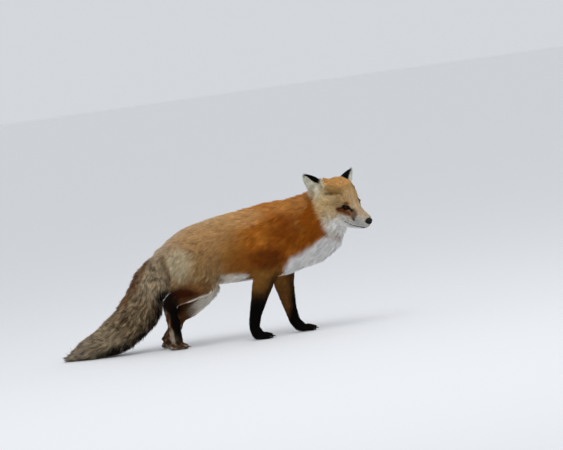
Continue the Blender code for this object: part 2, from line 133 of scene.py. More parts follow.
def writeTones(mesh, tones):
    shown = np.concatenate([tones, np.ones((len(tones), 1))], axis=1).astype(np.float32)
    mesh.color_attributes.new("tone", "FLOAT_COLOR", "POINT").data.foreach_set("color", shown.ravel())


def lengths(vectors):
    return np.linalg.norm(vectors, axis=1)


def unitOf(vector):
    return unit(np.array([vector], float))[0]


def smoothStep(low, high, values):
    share = np.clip((values - low) / (high - low), 0, 1)
    return share * share * (3 - 2 * share)


def cloud(places, size, seed):  # smooth noise from about -1 to 1, with lumps of this size in metres
    offset = Vector((seed * 7.3, seed * 3.1, seed * 5.7))
    return np.array([noise.noise(Vector(p) / size + offset) for p in places])


# The head's own axes: ahead to the nose, left, and up to the crown, from midway between the eyes
noseDrop = math.radians(19.9)  # how far below that level the nose lies


def headAxes():
    between = (middle("eye_left") + middle("eye_right")) / 2
    left = (middle("eye_left") - middle("eye_right")).normalized()
    ahead = middle("nose") - between
    ahead = Matrix.Rotation(-noseDrop, 3, left) @ (ahead - left * ahead.dot(left)).normalized()
    axes = Matrix((ahead, left, ahead.cross(left))).transposed().to_4x4()
    axes.translation = between
    return axes


headPlace = headAxes()
headTurn = np.array(headPlace.to_3x3())
headOrigin = np.array(headPlace.translation)


def inHead(places):
    return (places - headOrigin) @ headTurn


def fromHead(places):
    return np.asarray(places) @ headTurn.T + headOrigin


def inHeadTurn(vectors):
    return np.asarray(vectors) @ headTurn.T


# How the coat lies on each part: flow as ahead, out and up or along the limb, length and depth in mm, tone
bodyCoat = {
    "neck": {
        "up": ((-1, 0, -0.35), 34, 18, "#c06a22"),
        "side": ((-0.8, 0.15, -0.75), 38, 18, "#8f3e04"),
        "under": ((-0.6, 0, -0.8), 40, 20, "#b5702c"),
    },
    "chest": {
        "up": ((-1, 0, -0.15), 34, 17, "#dd9038"),
        "side": ((-0.95, 0, -0.45), 34, 15, "#b6671d"),
        "under": ((-0.9, 0, -0.5), 34, 17, "#9c5614"),
    },
    "loin": {
        "up": ((-1, 0, -0.1), 34, 17, "#e6ba73"),
        "side": ((-1, 0, -0.3), 34, 16, "#96631f"),
        "under": ((-0.9, 0, -0.4), 32, 17, "#a8794a"),
    },
    "rump": {
        "up": ((-1, 0, -0.3), 26, 14, "#f0d7b9"),
        "side": ((-0.9, 0, -0.55), 22, 12, "#9f7f5c"),
        "under": ((-0.6, 0, -0.7), 28, 14, "#c2b8a6"),
    },
    "thigh": {
        "up": ((-0.7, 0, -0.7), 22, 9, "#af9a78"),
        "side": ((-0.62, 0, -0.78), 21, 9, "#a58458"),
        "under": ((-0.3, 0, -0.9), 22, 9, "#b09c78"),
    },
    "shank": {
        "up": ((-0.9, 0, -0.4), 24, 7, "#7d4e24"),
        "side": ((-0.9, 0, -0.42), 24, 7, "#5e3a1a"),
        "under": ((-0.8, 0, -0.4), 15, 5, "#6f4c2a"),
    },
    "hind_foot": {"all": ("limb", 13, 4, "#7c4c28")},
    "hind_paw": {"all": ((0.8, 0, -0.5), 7, 2.2, "#7a5c40")},
    "foreleg_upper": {"all": ("limb", 17, 5, "#90622c")},
    "foreleg_lower": {"all": ("limb", 10, 3.2, "#17110c")},
    "forepaw": {"all": ((0.8, 0, -0.5), 7, 2.2, "#15100d")},
    "tail_root": {
        "up": ("limb", 28, 18, "#c8b292"),
        "side": ("limb", 28, 18, "#c8b292"),
        "under": ((0.1, 0, -1), 38, 22, "#a48c6e"),
    },
    "tail_middle": {
        "up": ("limb", 33, 22, "#765f44"),
        "side": ("limb", 33, 22, "#765f44"),
        "under": ((0.1, 0, -1), 45, 28, "#765f44"),
    },
    "tail_brush": {
        "up": ("limb", 36, 20, "#a19076"),
        "side": ("limb", 36, 20, "#a19076"),
        "under": ((0.1, 0, -1), 46, 24, "#a19076"),
    },
    "tail_tip": {"all": ("limb", 40, 13, "#978a7b")},
}
# The same on the head, after a place along its own axes in mm; each has its mirror image on the other side
headCoat = {
    "nose bridge": ((45, 0, -4), (-1, 0, 0.3), 4, 1.4, "#cfab80"),
    "muzzle side": ((52, 17, -26), (-1, 0.3, 0), 4, 1.4, "#d2ccc0"),
    "lip": ((32, 22, -40), (-1, 0.2, -0.3), 5, 1.6, "#e6e4de"),
    "chin": ((50, 0, -56), (-1, 0, -0.2), 6, 2, "#eceae6"),
    "jaw": ((10, 20, -62), (-1, 0.25, -0.4), 10, 4, "#eeece8"),
    "stop": ((16, 0, 16), (-1, 0, 0.7), 5, 1.6, "#d3b48a"),
    "brow": ((-2, 22, 22), (-1, 0.2, 0.8), 6, 2, "#cda673"),
    "forehead": ((-22, 8, 50), (-1, 0.1, 0.8), 9, 4, "#dcb984"),
    "crown": ((-60, 12, 66), (-1, 0.1, 0), 14, 6.5, "#dcae6e"),
    "nape": ((-108, 0, 45), (-1, 0, -0.4), 24, 13, "#c47a2e"),
    "under eye": ((2, 36, -17), (-1, 0.5, -0.3), 6, 2, "#c9ab80"),
    "temple": ((-34, 54, 16), (-1, 0.5, 0.15), 9, 3.5, "#ca9f62"),
    "cheek": ((-30, 60, -24), (-1, 0.6, -0.35), 14, 6, "#d6bf94"),
    "ruff": ((-66, 78, -30), (-0.9, 0.5, -0.75), 25, 10, "#d0a05a"),
    "jowl": ((-30, 52, -60), (-0.8, 0.4, -0.8), 23, 9, "#ebe7dc"),
    "throat": ((-20, 10, -78), (-1, 0, -0.7), 24, 11, "#f2f1ee"),
    "ear root": ((-70, 62, 22), (-0.7, 0.6, 0.5), 9, 3, "#d8c294"),
    "behind ear": ((-88, 72, 0), (-0.9, 0.5, -0.5), 16, 6, "#d9c396"),
}
coatTicks = {  # how much each part is sprinkled with dark and pale tips; 0.1 elsewhere
    "head": 0.35, "loin": 0.2, "rump": 0.6, "thigh": 0.65, "shank": 0.4,
    "tail_root": 0.8, "tail_middle": 0.9, "tail_brush": 0.8, "tail_tip": 0.6,
}
headCoatReach = 0.020  # how far each place on the head counts, in metres
earCoat = {  # on each side: length and depth in mm, tone, and its lean out of the cup and ahead
    "opens": {"ear_right": (0.56, -0.76, -0.34), "ear_left": (0.25, 0.92, -0.30)},
    "back": (9, 2, "#070505", -0.1, 0),
    "inside": (15, 1.6, "#f8f2dc", 0.3, 0.1),
    "rim": (8, 1.6, "#f3edda", 0.25, 0.2),
    "hollow": 0.003,  # from the middle of an ear's shell to the middle of its cup, in metres
    "rimReach": (0.25, 0.75),  # how much of the back lies round a place on the rim
    "bulge": {"ear_right": (0.001, 0.006), "ear_left": (0.004, 0.001)},  # how full the back is, and its front
    "rollsOver": {"ear_right": 0.60, "ear_left": 2},  # across from the rear, where the back rolls over
    "fringe": {"ear_right": 2, "ear_left": 0.955},  # and where the cup's pale fringe shows past the back
    "rootReach": {"ear_right": 0.30, "ear_left": 0.02},
    "rootTone": "#ecdfbe",
    "tip": (0.022, 0.55),  # how far down an ear narrows to its tip, and how much
}
coatSmoothing = 45  # passes in which the coat's lie, length and tones melt from part to part

skinSettings = {
    "sameCorner": 0.00002,
    "closeCuts": 0.0003,  # each part grows by this, so that the cuts between them close
    "voxel": 0.0017,
    "faces": 90000,
    "headReach": ((-0.03, 0, 0.02), (0.13, 0.14, 0.11)),  # along the head's own axes: middle and half sizes
    "footHeight": 0.04,
    "headShare": 0.12,  # how freely faces on the head and the feet are merged, against 1 elsewhere
    "footShare": 0.5,
    "relax": 3,
    "longEdge": 0.0095,  # longer ones are cut, so that the coat's lie and tones can change along them
    # painted shade: the skin, seen between the tufts, is darker than the coat's tones
    "shade": 0.8,
}
faceParts = ("head", "lower_jaw", "nose", "eye_left", "eye_right")


# The face, along the head's own axes: an eye's opening is an almond seen along its gaze
eyeSettings = {
    "centre": (0, 0.0255, 0),  # the left one, in metres
    "gaze": (0.55, 0.80, 0.20),
    "across": (0.815, -0.579, 0.02),  # to its inner corner
    "radius": 0.0086,
    "inset": 0.0007,  # how deep it is set
    "halfLength": 0.0104,
    "up": 0.0040,
    "down": 0.0034,
    "socket": 0.0018,  # how far the skin lies under the ball
    "lid": 0.0010,  # how far the lids' rims stand over it
    "fold": (0.0042, 0.0012, 0.0007),  # over the upper lid: how far from it, how wide and how deep
    "lidFade": 0.0065,
    "bare": 0.0014,  # width of the hairless rim
}
# Where the coat stands higher than the flesh: place, reach and push in mm in the head's axes, and the sides
fuller = {
    "crown by the ear": ((-90, 33, 50), 28, (0, 4, 13), (-1,)),
    "ear cup floor": ((-107, 51, 26), 17, (6, 10, 2), (-1, 1)),
    "ear root below": ((-86, 74, -2), 22, (-4, 7, -3), (-1, 1)),
}
# And on the body, from the middle of a part: place, reach and push in mm as ahead, left and up
bodyFuller = {
    "dip before the withers": ("neck", (-75, -12, 76), 34, (0, 0, 6)),
    "haunch by the tail": ("thigh_right", (-68, -8, -46), 34, (-14, 0, 0)),
    "inside of the hock": ("shank_right", (-46, -4, -34), 22, (6, 0, -4)),
}
evened = [((-102, 52, 25), 26, 60), ((-109, 60, 14), 14, 80)]  # crevices by the ears: place, reach and passes
lipLine = [
    (6, 27.5, -46), (24.5, 20, -51), (46, 14.3, -50.6), (60, 10, -48), (68, 6, -45.7), (74.5, 0, -44.5),
]
lipSettings = {"groove": 0.0018, "reach": 0.0036, "bare": 0.0022}
creaseLine = [(-66, 61, 27), (-36, 47, 36.6), (-17, 31, 36.7)]  # from the ear's notch to the brow
creaseSettings = {"groove": 0.0022, "reach": 0.0070}
# Where faces are cut smaller, how near in metres, and how often
finerFaces = [("eye", 0.0145, 2), (lipLine, 0.0055, 2), (creaseLine, 0.008, 1)]


def partKind(part):  # the entry of bodyCoat for a part
    return part.replace("_right", "").replace("_left", "")


def joinedFlesh():  # copies of all the flesh, grown to touch, as one mesh; the eyes fill their sockets
    nodes = [node for part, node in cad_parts.items() if part != "nose"]
    flesh = joinCopies([addThing("flesh", node.data.copy()) for node in nodes], "skin")
    bpy.ops.object.mode_set(mode="EDIT")
    bpy.ops.mesh.select_all(action="SELECT")
    bpy.ops.mesh.remove_doubles(threshold=skinSettings["sameCorner"])
    bpy.ops.object.mode_set(mode="OBJECT")
    flesh.data.materials.clear()
    applyModifier(flesh, "DISPLACE", strength=skinSettings["closeCuts"], mid_level=0)
    applyModifier(flesh, "REMESH", mode="VOXEL", voxel_size=skinSettings["voxel"])
    return flesh


def thinOut(skin):  # fewer faces, with most of them kept on the head and feet
    places = readPlaces(skin)
    headMiddle, headSize = skinSettings["headReach"]
    onHead = lengths((inHead(places) - headMiddle) / headSize) < 1
    onFoot = places[:, 2] < skinSettings["footHeight"]
    freely = np.where(onHead, skinSettings["headShare"], np.where(onFoot, skinSettings["footShare"], 1.0))
    group = skin.vertex_groups.new(name="mergeFreely")
    for share in np.unique(freely):
        group.add(np.flatnonzero(freely == share).tolist(), float(share), "REPLACE")
    ratio = skinSettings["faces"] / (2 * len(skin.data.polygons))
    applyModifier(skin, "DECIMATE", ratio=ratio, vertex_group="mergeFreely", use_collapse_triangulate=True)
    skin.vertex_groups.clear()


def mirroredHead(places):  # places along the head's axes, with the right side folded onto the left
    ahead = inHead(places)
    side = np.where(ahead[:, 1] < 0, -1.0, 1.0)
    ahead[:, 1] = np.abs(ahead[:, 1])
    return ahead, side


def alongLine(points, line):  # distance of each point from a line of places in mm
    nearest = np.full(len(points), np.inf)
    for start, end in zip(mm(line)[:-1], mm(line)[1:]):
        reach = end - start
        share = np.clip((points - start) @ reach / (reach @ reach), 0, 1)[:, None]
        nearest = np.minimum(nearest, lengths(points - start - share * reach))
    return nearest


def eyeAxes():
    gaze = Vector(eyeSettings["gaze"]).normalized()
    across = Vector(eyeSettings["across"])
    across = (across - gaze * across.dot(gaze)).normalized()
    return np.array([across, across.cross(gaze), gaze])


def fromLids(ahead):  # distance from the eye's opening, negative within it, and the place seen along the gaze
    seen = (ahead - eyeSettings["centre"]) @ eyeAxes().T
    across, up = np.abs(seen[:, 0]), seen[:, 1]
    height = np.where(up > 0, eyeSettings["up"], eyeSettings["down"])
    opening = height * np.clip(1 - (across / eyeSettings["halfLength"]) ** 2, 0, 1) ** 0.75
    beyond = np.maximum(across - eyeSettings["halfLength"], 0)
    gap = np.where(beyond > 0, np.hypot(beyond, up), np.abs(up) - opening)
    return np.where(seen[:, 2] > 0, gap, 1.0), seen


def subdivide(skin, vertices, edges):  # cuts the chosen edges in two, and stays in edit mode
    onlySelect(skin)
    mesh = skin.data
    for things, chosen in ((mesh.polygons, False), (mesh.vertices, vertices), (mesh.edges, edges)):
        things.foreach_set("select", np.full(len(things), chosen))
    bpy.ops.object.mode_set(mode="EDIT")
    bpy.ops.mesh.subdivide(number_cuts=1)


def cutLongEdges(skin):
    bpy.context.tool_settings.mesh_select_mode = (False, True, False)
    for _ in range(4):
        ends = readValues(skin.data.edges, "vertices", 2, int)
        places = readPlaces(skin)[ends]
        long = lengths(places[:, 1] - places[:, 0]) > skinSettings["longEdge"]
        if not long.any():
            break
        chosen = np.zeros(len(skin.data.vertices), bool)
        chosen[ends[long]] = True
        subdivide(skin, chosen, long)
        bpy.ops.mesh.select_all(action="SELECT")
        bpy.ops.mesh.quads_convert_to_tris()
        bpy.ops.object.mode_set(mode="OBJECT")
        print("cut", int(long.sum()), "long edges")
    bpy.context.tool_settings.mesh_select_mode = (True, False, False)


def makeFiner(skin):
    for where, reach, cuts in finerFaces:
        for _ in range(cuts):
            ahead, _side = mirroredHead(readValues(skin.data.polygons, "center"))
            gap = lengths(ahead - eyeSettings["centre"]) if where == "eye" else alongLine(ahead, where)
            near = np.zeros(len(skin.data.vertices), bool)
            for face in np.flatnonzero(gap < reach):
                near[list(skin.data.polygons[int(face)].vertices)] = True
            subdivide(skin, near, False)
            bpy.ops.object.mode_set(mode="OBJECT")


def fillOut(skin):
    places = readPlaces(skin)
    ahead, side = mirroredHead(places)
    push = np.zeros(places.shape)
    for at, reach, way, sides in fuller.values():
        near = smoothStep(mm(reach), 0, lengths(ahead - mm(at))) * np.isin(side, sides)
        push += near[:, None] * mm(way)
    push[:, 1] *= side
    places = places + inHeadTurn(push)
    for part, at, reach, way in bodyFuller.values():
        near = smoothStep(mm(reach), 0, lengths(places - np.array(middle(part)) - mm(at)))
        places += near[:, None] * mm(way)
    for at, reach, passes in evened:
        share = smoothStep(1, 0.5, lengths(mirroredHead(places)[0] - mm(at)) / mm(reach))
        places += share[:, None] * (neighbourMean(skin, places, passes) - places)
    reach, narrow = earCoat["tip"]
    for ear in earCoat["opens"]:
        axis = earAxes(ear)[0]
        corners = cornersOf(ear)
        tip = corners[lengths(corners - headOrigin).argmax()]
        aside = tip - places - ((tip - places) @ axis)[:, None] * axis
        places += (narrow * smoothStep(reach, 0.2 * reach, lengths(tip - places)))[:, None] * aside
    writePlaces(skin, places)


def carveFace(skin, outer):  # lids round the eyes, the line of the mouth and the crease behind the brow
    places, normals = readPlaces(skin), readNormals(skin)
    ahead, side = mirroredHead(places)
    lids = eyeSettings
    gap, seen = fromLids(ahead)
    target = lids["radius"] - lids["socket"]
    target += (lids["socket"] + lids["lid"]) * smoothStep(-0.0006, 0.0003, gap)
    foldAt, foldWide, foldDeep = lids["fold"]
    target -= foldDeep * np.exp(-(((gap - foldAt) / foldWide) ** 2)) * (seen[:, 1] > 0)
    share = 1 - smoothStep(0.0015, lids["lidFade"], gap)
    moved = seen * (1 + share * (target / np.maximum(lengths(seen), 1e-9) - 1))[:, None]
    near = (share > 0)[:, None]
    ahead = np.where(near, moved @ eyeAxes() + lids["centre"], ahead)
    ahead[:, 1] *= side
    places = np.where(near, fromHead(ahead), places)
    folded, side = mirroredHead(outer)
    for line, settings in ((lipLine, lipSettings), (creaseLine, creaseSettings)):
        depth = settings["groove"] * (1 - smoothStep(0, settings["reach"], alongLine(folded, line)))
        places -= normals * depth[:, None]
    writePlaces(skin, places)


def nearestParts(places):  # the name of the CAD part nearest to each place
    corners, faces, owners = [], [], []
    for part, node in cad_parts.items():
        faces += [[len(corners) + i for i in face.vertices] for face in node.data.polygons]
        corners += cornersOf(part).tolist()
        owners += [part] * len(node.data.polygons)
    tree = bvhtree.BVHTree.FromPolygons(corners, faces)
    return np.array([owners[tree.find_nearest(Vector(p))[2]] for p in places])


def limbAxis(part):  # the direction along a leg or a length of tail, away from the body
    corners = cornersOf(part)
    axis = np.linalg.svd(corners - corners.mean(axis=0), full_matrices=False)[2][0]
    return axis if axis[2] < 0 else -axis


def layBodyCoat(lie, parts, normals):
    one = np.ones(len(parts))
    sided = np.stack([one, np.sign(normals[:, 1]), one], axis=1)
    shares = {
        "all": one,
        "up": np.clip(normals[:, 2], 0, 1) ** 1.5,
        "under": np.clip(-normals[:, 2], 0, 1) ** 1.5,
    }
    shares["side"] = 1 - shares["up"] - shares["under"]
    for part in set(parts):
        if partKind(part) not in bodyCoat:
            continue
        here = parts == part
        for side, (flow, long, depth, tone) in bodyCoat[partKind(part)].items():
            share = shares[side][here]
            way = limbAxis(part) if flow == "limb" else flow * sided[here]
            lie["flow"][here] += share[:, None] * way
            lie["long"][here] += share * long / 1000
            lie["depth"][here] += share * depth / 1000
            lie["tone"][here] += share[:, None] * linear(tone)
        lie["tick"][here] = coatTicks.get(partKind(part), 0.1)


def layHeadCoat(lie, parts, places):
    here = np.isin(parts, faceParts)
    ahead, side = mirroredHead(places[here])
    sites, flows, long, depth, tones = zip(*headCoat.values())
    gaps = np.stack([lengths(ahead - site) for site in mm(sites)], axis=1) / headCoatReach
    shares = np.exp(gaps.min(axis=1, keepdims=True) ** 2 - gaps**2)
    shares /= shares.sum(axis=1, keepdims=True)
    flow = shares @ unit(np.array(flows, float))
    flow[:, 1] *= side
    lie["flow"][here] = inHeadTurn(flow)
    lie["long"][here] = shares @ mm(long)
    lie["depth"][here] = shares @ mm(depth)
    lie["tone"][here] = shares @ np.array([linear(tone) for tone in tones])
    lie["tick"][here] = coatTicks["head"]


def earAxes(ear):  # from an ear's root to its tip, the way its cup opens, and to its front edge
    corners = cornersOf(ear)
    reach = lengths(corners - headOrigin)
    axis = unitOf(corners[reach.argmax()] - corners[reach < np.quantile(reach, 0.2)].mean(axis=0))
    facing = inHeadTurn(earCoat["opens"][ear])
    facing = unitOf(facing - axis * facing.dot(axis))
    front = np.cross(axis, facing)
    return axis, facing, front * np.sign(inHeadTurn((1, 0, 0)) @ front)


def acrossEar(ahead, along, here):  # 0 at the ear's rear edge and 1 at its front one, at each height
    steps = np.where(here, np.clip((along * 12).astype(int), 0, 11), -1)
    used = np.unique(steps[here])
    heights = (used + 0.5) / 12
    rear = np.interp(along, heights, [ahead[steps == step].min() for step in used])
    front = np.interp(along, heights, [ahead[steps == step].max() for step in used])
    return (ahead - rear) / np.maximum(front - rear, 1e-6)


def layEarCoat(skin, lie, parts, places, normals):
    behind = np.zeros(len(places))
    for ear in earCoat["opens"]:
        axis, facing, front = earAxes(ear)
        corners = cornersOf(ear)
        here = parts == ear
        outwards = np.zeros(here.sum())
        for way, shift in ((facing, earCoat["hollow"]), (front, 0)):
            line = np.polyfit(corners @ axis, corners @ way, 1)
            beyond = places[here] @ way - np.polyval(line, places[here] @ axis) - shift
            outwards += beyond * (normals[here] @ way)
        behind[here] = (outwards > 0) & (normals[here] @ facing < 0.25)
    spread = neighbourMean(skin, behind, 2)
    limits = earCoat["rimReach"]
    lie["bulge"] = np.zeros(len(places))
    for ear in earCoat["opens"]:
        axis, facing, front = earAxes(ear)
        here = parts == ear
        along = places @ axis
        along = (along - along[here].min()) / (along[here].max() - along[here].min())
        across = acrossEar(places @ front, along, here)
        rolled = smoothStep(-0.03, 0.03, across - earCoat["rollsOver"][ear])
        fringed = smoothStep(0.01, -0.01, across - earCoat["fringe"][ear]) * smoothStep(0.03, 0.09, across)
        spread = np.where(here, np.maximum(spread, rolled) * (0.5 + 0.5 * fringed), spread)
        sides = {"back": spread >= limits[1], "inside": spread <= limits[0]}
        sides["rim"] = ~sides["back"] & ~sides["inside"]
        for side, chosen in sides.items():
            chosen = chosen & here
            long, depth, tone, spill, lean = earCoat[side]
            lie["flow"][chosen] = axis + spill * facing + lean * front
            lie["long"][chosen] = long / 1000
            lie["depth"][chosen] = depth / 1000
            low = smoothStep(1.0, 0.6, along[chosen] / earCoat["rootReach"][ear])[:, None]
            lie["tone"][chosen] = linear(tone) * (1 - low) + linear(earCoat["rootTone"]) * low
        fullest = smoothStep(0.0, 0.30, along) * smoothStep(0.97, 0.45, along) * smoothStep(0.5, 1.0, spread)
        even, forward = earCoat["bulge"][ear]
        lie["bulge"] += fullest * here * (even + forward * smoothStep(0, 0.6, normals @ front))


def neighbourMean(skin, values, passes, held=None):  # melts values over the skin, except where held
    one, other = readValues(skin.data.edges, "vertices", 2, int).T
    count = np.bincount(np.concatenate([one, other]), minlength=len(values))[:, None]
    flat = values.reshape(len(values), -1).copy()
    kept = flat.copy()
    for _ in range(passes):
        total = np.stack([
            np.bincount(one, weights=flat[other, k], minlength=len(flat))
            + np.bincount(other, weights=flat[one, k], minlength=len(flat))
            for k in range(flat.shape[1])
        ], axis=1)
        flat = 0.5 * flat + 0.5 * total / np.maximum(count, 1)
        if held is not None:
            flat[held] = kept[held]
    return flat.reshape(values.shape)


def layCoat(skin):  # the coat's flow, length, depth and base tone at every vertex of the skin
    places, normals = readPlaces(skin), readNormals(skin)
    parts = nearestParts(places)
    count = len(places)
    lie = {key: np.zeros(count) for key in ("long", "depth", "tick")}
    lie |= {key: np.zeros((count, 3)) for key in ("flow", "tone")}
    layBodyCoat(lie, parts, normals)
    layHeadCoat(lie, parts, places)
    layEarCoat(skin, lie, parts, places, normals)
    onEar = np.isin(parts, list(earCoat["opens"]))
    writePlaces(skin, places + normals * neighbourMean(skin, lie["bulge"], 6)[:, None])
    for key in lie:
        held = onEar if key in ("tone", "flow") else None
        lie[key] = neighbourMean(skin, neighbourMean(skin, lie[key], coatSmoothing, held), 1)
    lie["part"] = parts
    return lie


def makeSkin():
    skin = joinedFlesh()
    thinOut(skin)
    cutLongEdges(skin)
    makeFiner(skin)
    fillOut(skin)
    lie = layCoat(skin)
    lie["outer"] = readPlaces(skin)  # where the coat's tips lie
    inward = neighbourMean(skin, readNormals(skin), 6)
    writePlaces(skin, lie["outer"] - unit(inward) * lie["depth"][:, None])
    writePlaces(skin, neighbourMean(skin, readPlaces(skin), skinSettings["relax"]))
    carveFace(skin, lie["outer"])
    skin.data.shade_smooth()
    lids = fromLids(mirroredHead(readPlaces(skin))[0])[0]
    lips = alongLine(mirroredHead(lie["outer"])[0], lipLine)
    lie["bare"] = (lids < eyeSettings["bare"]) | (lips < lipSettings["bare"])
    return skin, lie


skin, lie = makeSkin()
print("skin", len(skin.data.polygons), "faces")

# Markings with some painted light and shade, laid over the base tones in this order: the part, the place in mm
# from its middle as ahead, out and up, or in the head's own axes for the face, half sizes in mm, tone and
# amount.
# A list of places is a line, with its half width. A mark with a facing shows only where the coat faces that
# way, as squarely as said
def mark(of, at, size, tone, amount, blur=0.45, facing=None, squarely=(0.1, 0.7), ears=False):
    return {
        "of": of, "at": at, "size": size, "tone": tone, "amount": amount, "blur": blur, "facing": facing,
        "squarely": squarely, "ears": ears,
    }


coatMarks = {
    "dark shoulder": mark("chest", (30, 75, 20), (45, 50, 55), "#84460e", 0.3),
    "low shoulder": mark("foreleg_upper", (5, 30, 40), (55, 40, 32), "#602805", 0.8),
    "low flank": mark("loin", (10, 70, -50), (90, 50, 26), "#8c470e", 0.5),
    "tan loin end": mark("loin", (-85, 70, 20), (85, 60, 95), "#b88548", 0.6, blur=0.9),
    "golden haunch": mark("rump", (40, 50, 60), (90, 60, 50), "#dfae74", 0.65, blur=0.9),
    "sunlit nape": mark(
        "neck", (0, 0, 70), (100, 80, 60), "#cf8f4c", 0.75, facing=(-0.2, 0, 1), squarely=(0.2, 0.75),
    ),
    "pale shoulder top": mark("neck", (-85, 30, 72), (45, 50, 30), "#d6934a", 0.7),
    "bright back": mark("loin", (30, 45, 85), (75, 60, 30), "#e3b47c", 0.6),
    "cream rump": mark("thigh", (-50, 30, 20), (46, 60, 48), "#e6d8b4", 0.62),
    "thigh front": mark("thigh", (60, 20, -20), (30, 50, 45), "#9a7a4e", 0.5),
    "low thigh": mark("shank", (30, 30, 22), (55, 40, 16), "#87592d", 0.7),
    "rust thigh": mark("shank", (-20, 30, 8), (46, 40, 18), "#3c1402", 0.95),
    "pale shank edge": mark(
        "shank", (30, 0, -5), (75, 50, 50), "#fbf3e2", 1, facing=(0.42, 0, -0.9), squarely=(0.74, 0.9),
    ),
    "pale shank front": mark(
        "shank", (45, 0, 0), (70, 60, 70), "#f3ecdc", 0.95, facing=(0.72, -0.55, -0.42),
        squarely=(0.5, 0.8),
    ),
    "dark hock": mark("shank", (-72, 10, -10), (30, 50, 34), "#140b05", 0.95),
    "pale foot behind": mark(
        "hind_foot", (-4, 14, -52), (22, 30, 18), "#cdbca6", 0.8, facing=(-0.6, 0.8, 0),
    ),
    "dark foot front": mark(
        "hind_foot", (14, 0, 0), (26, 50, 90), "#0e0804", 1, facing=(0.8, 0.6, 0.1), squarely=(0.25, 0.55),
    ),
    "dark wrist front": mark("foreleg_upper", (5, 0, -36), (60, 50, 35), "#33210f", 0.85, facing=(1, 0, 0)),
    "black leg": mark("foreleg_lower", (0, 0, -24), (60, 50, 62), "#0a0706", 1),
    "tan inner leg": mark(
        "foreleg_lower", (-14, -12, 24), (26, 20, 60), "#8a5c2c", 0.9, facing=(-0.5, -0.85, 0),
    ),
    "orange tail root": mark("tail_root", (10, 0, 60), (50, 60, 30), "#c9b08a", 0.6),
    "orange crown": mark("face", (-62, 10, 68), (58, 55, 26), "#cc9350", 0.75),
    "grizzled brow": mark("face", (-40, 44, 44), (34, 26, 11), "#9a7440", 0.7),
    "cream temple": mark("face", (-46, 57, 20), (26, 22, 11), "#ecd09c", 0.85),
    "speckled temple": mark("face", (-22, 47, 12), (18, 18, 14), "#a58660", 0.45),
    "red above the eye": mark("face", (2, 28, 14), (13, 9, 5), "#7c4318", 0.85),
    # painted highlight: a pale cream-tan patch on the bridge
    "pale bridge": mark("face", (20, 10, 10), (12, 7, 9), "#e0c69c", 0.7),
    "cream cup floor": mark("face", (-106, 52, 27), (24, 20, 20), "#f4ead0", 1, ears=True),
    "white cheek": mark("face", (-2, 37, -30), (18, 12, 8), "#dcdad3", 0.9),
    "white lip": mark("face", (48, 18, -34), (20, 12, 12), "#cbc9c2", 0.9),
    "white jowl": mark("face", (-10, 45, -55), (30, 30, 16), "#f0efea", 0.8),
    "rusty tail edge": mark("tail_middle", [(30, 0, 150), (-5, 0, 90), (-50, 0, 45)], 22, "#80502a", 0.75),
    "black tail fringe": mark(
        "tail_middle", [(84, 0, 40), (72, 0, -6), (35, 0, -53), (-22, 0, -91), (-86, 0, -108)], 22,
        "#0f0b09", 0.95,
    ),
    "dark brush end": mark("tail_brush", [(50, 0, -44), (-50, 0, -60)], 14, "#1a1512", 0.8),
    # painted shadow between the tail and the thigh
    "fold by the tail": mark("rump", [(-79, 0, -4), (-69, 0, -78)], 10, "#6a4a28", 0.55),
    # painted shade along the crease behind the brow, with its dark-tipped hairs
    "ear crease": mark("face", creaseLine, 3.4, "#3d2a12", 0.65, blur=0.8),
    "rust under the eye": mark(
        "face", [(-12, 41, -8), (0, 36, -10.5), (15, 27, -15.5)], 8.2, "#7c3605", 0.95, blur=0.75,
    ),
    "tear wedge": mark("face", [(21, 21, -4), (30, 20, -12), (29, 24, -21)], 7.5, "#6a4724", 0.85, blur=0.7),
    "outer eye line": mark("face", [(-18, 48, -6), (-12, 42, -2), (-5, 34, 2)], 3.4, "#1c0f08", 0.8),
    "eye corner": mark("face", [(-4, 33, 1), (-9, 38, -1)], 5, "#120a06", 0.9),
    "inner eye line": mark("face", [(6, 26, 0), (13, 22, -2.8), (19, 20, -4.8)], 4.2, "#120a06", 0.95),
    "whisker spot": mark("face", [(30, 23.5, -27), (33, 22, -33)], 3.4, "#2c2119", 0.85),
    "lips": mark("face", lipLine, 3.1, "#0c0807", 1),
}
mottles = {  # cream and dark lumps in the coat: the parts, size in mm, tones and amount
    "tail": (("tail_root", "tail_middle", "tail_brush", "tail_tip"), 9, "#cdb48c", "#382818", 0.7),
    "hind foot": (("hind_foot", "hind_paw"), 10, "#d5c7b2", "#24170c", 0.6),
    "rump": (("rump", "thigh"), 7, "#e8dab6", "#5c4526", 0.30),
    "body": (("loin", "chest", "neck"), 16, "#e09a3e", "#632c02", 0.25),
    "head": (("head",), 4.5, "#ecd5a8", "#80603a", 0.22),
}
lidMark = {"wide": 0.0042, "tone": "#0b0605"}
# White lies ahead of and below this line, from behind the cheek down the neck and along the belly, and orange
# behind it as far as the head reaches. In mm from the middle of the neck, as ahead and up
whiteUnder = {
    "line": [
        (-40, 200), (12, 88), (26, 66), (32, 30), (44, 4), (53, -34), (33, -47), (-16, -71), (-65, -88),
        (-91, -119), (-109, -134), (-150, -130), (-204, -121), (-291, -110), (-340, -118),
    ],
    "blur": 9,
    "parts": ("neck", "chest", "loin", "rump"),
    "tone": "#f1efec",
    "rear": (-100, -250),
    "rearTone": "#ece4d9",
    "high": (35, 60),
    "highTone": "#d9bd88",
    "collar": (-85, -45),
    "collarTone": "#9e5411",
    "farSide": 0.9,  # how much further ahead it lies for each mm out on the far side of the bent neck, above
    "faces": (-60, 20),
}
markSettings = {"ragged": 0.004, "raggedSize": 0.014}  # how far the marks' edges wander, and over what size


def kindsOf(parts):
    names, which = np.unique(parts, return_inverse=True)
    return np.array([partKind(name) for name in names])[which]


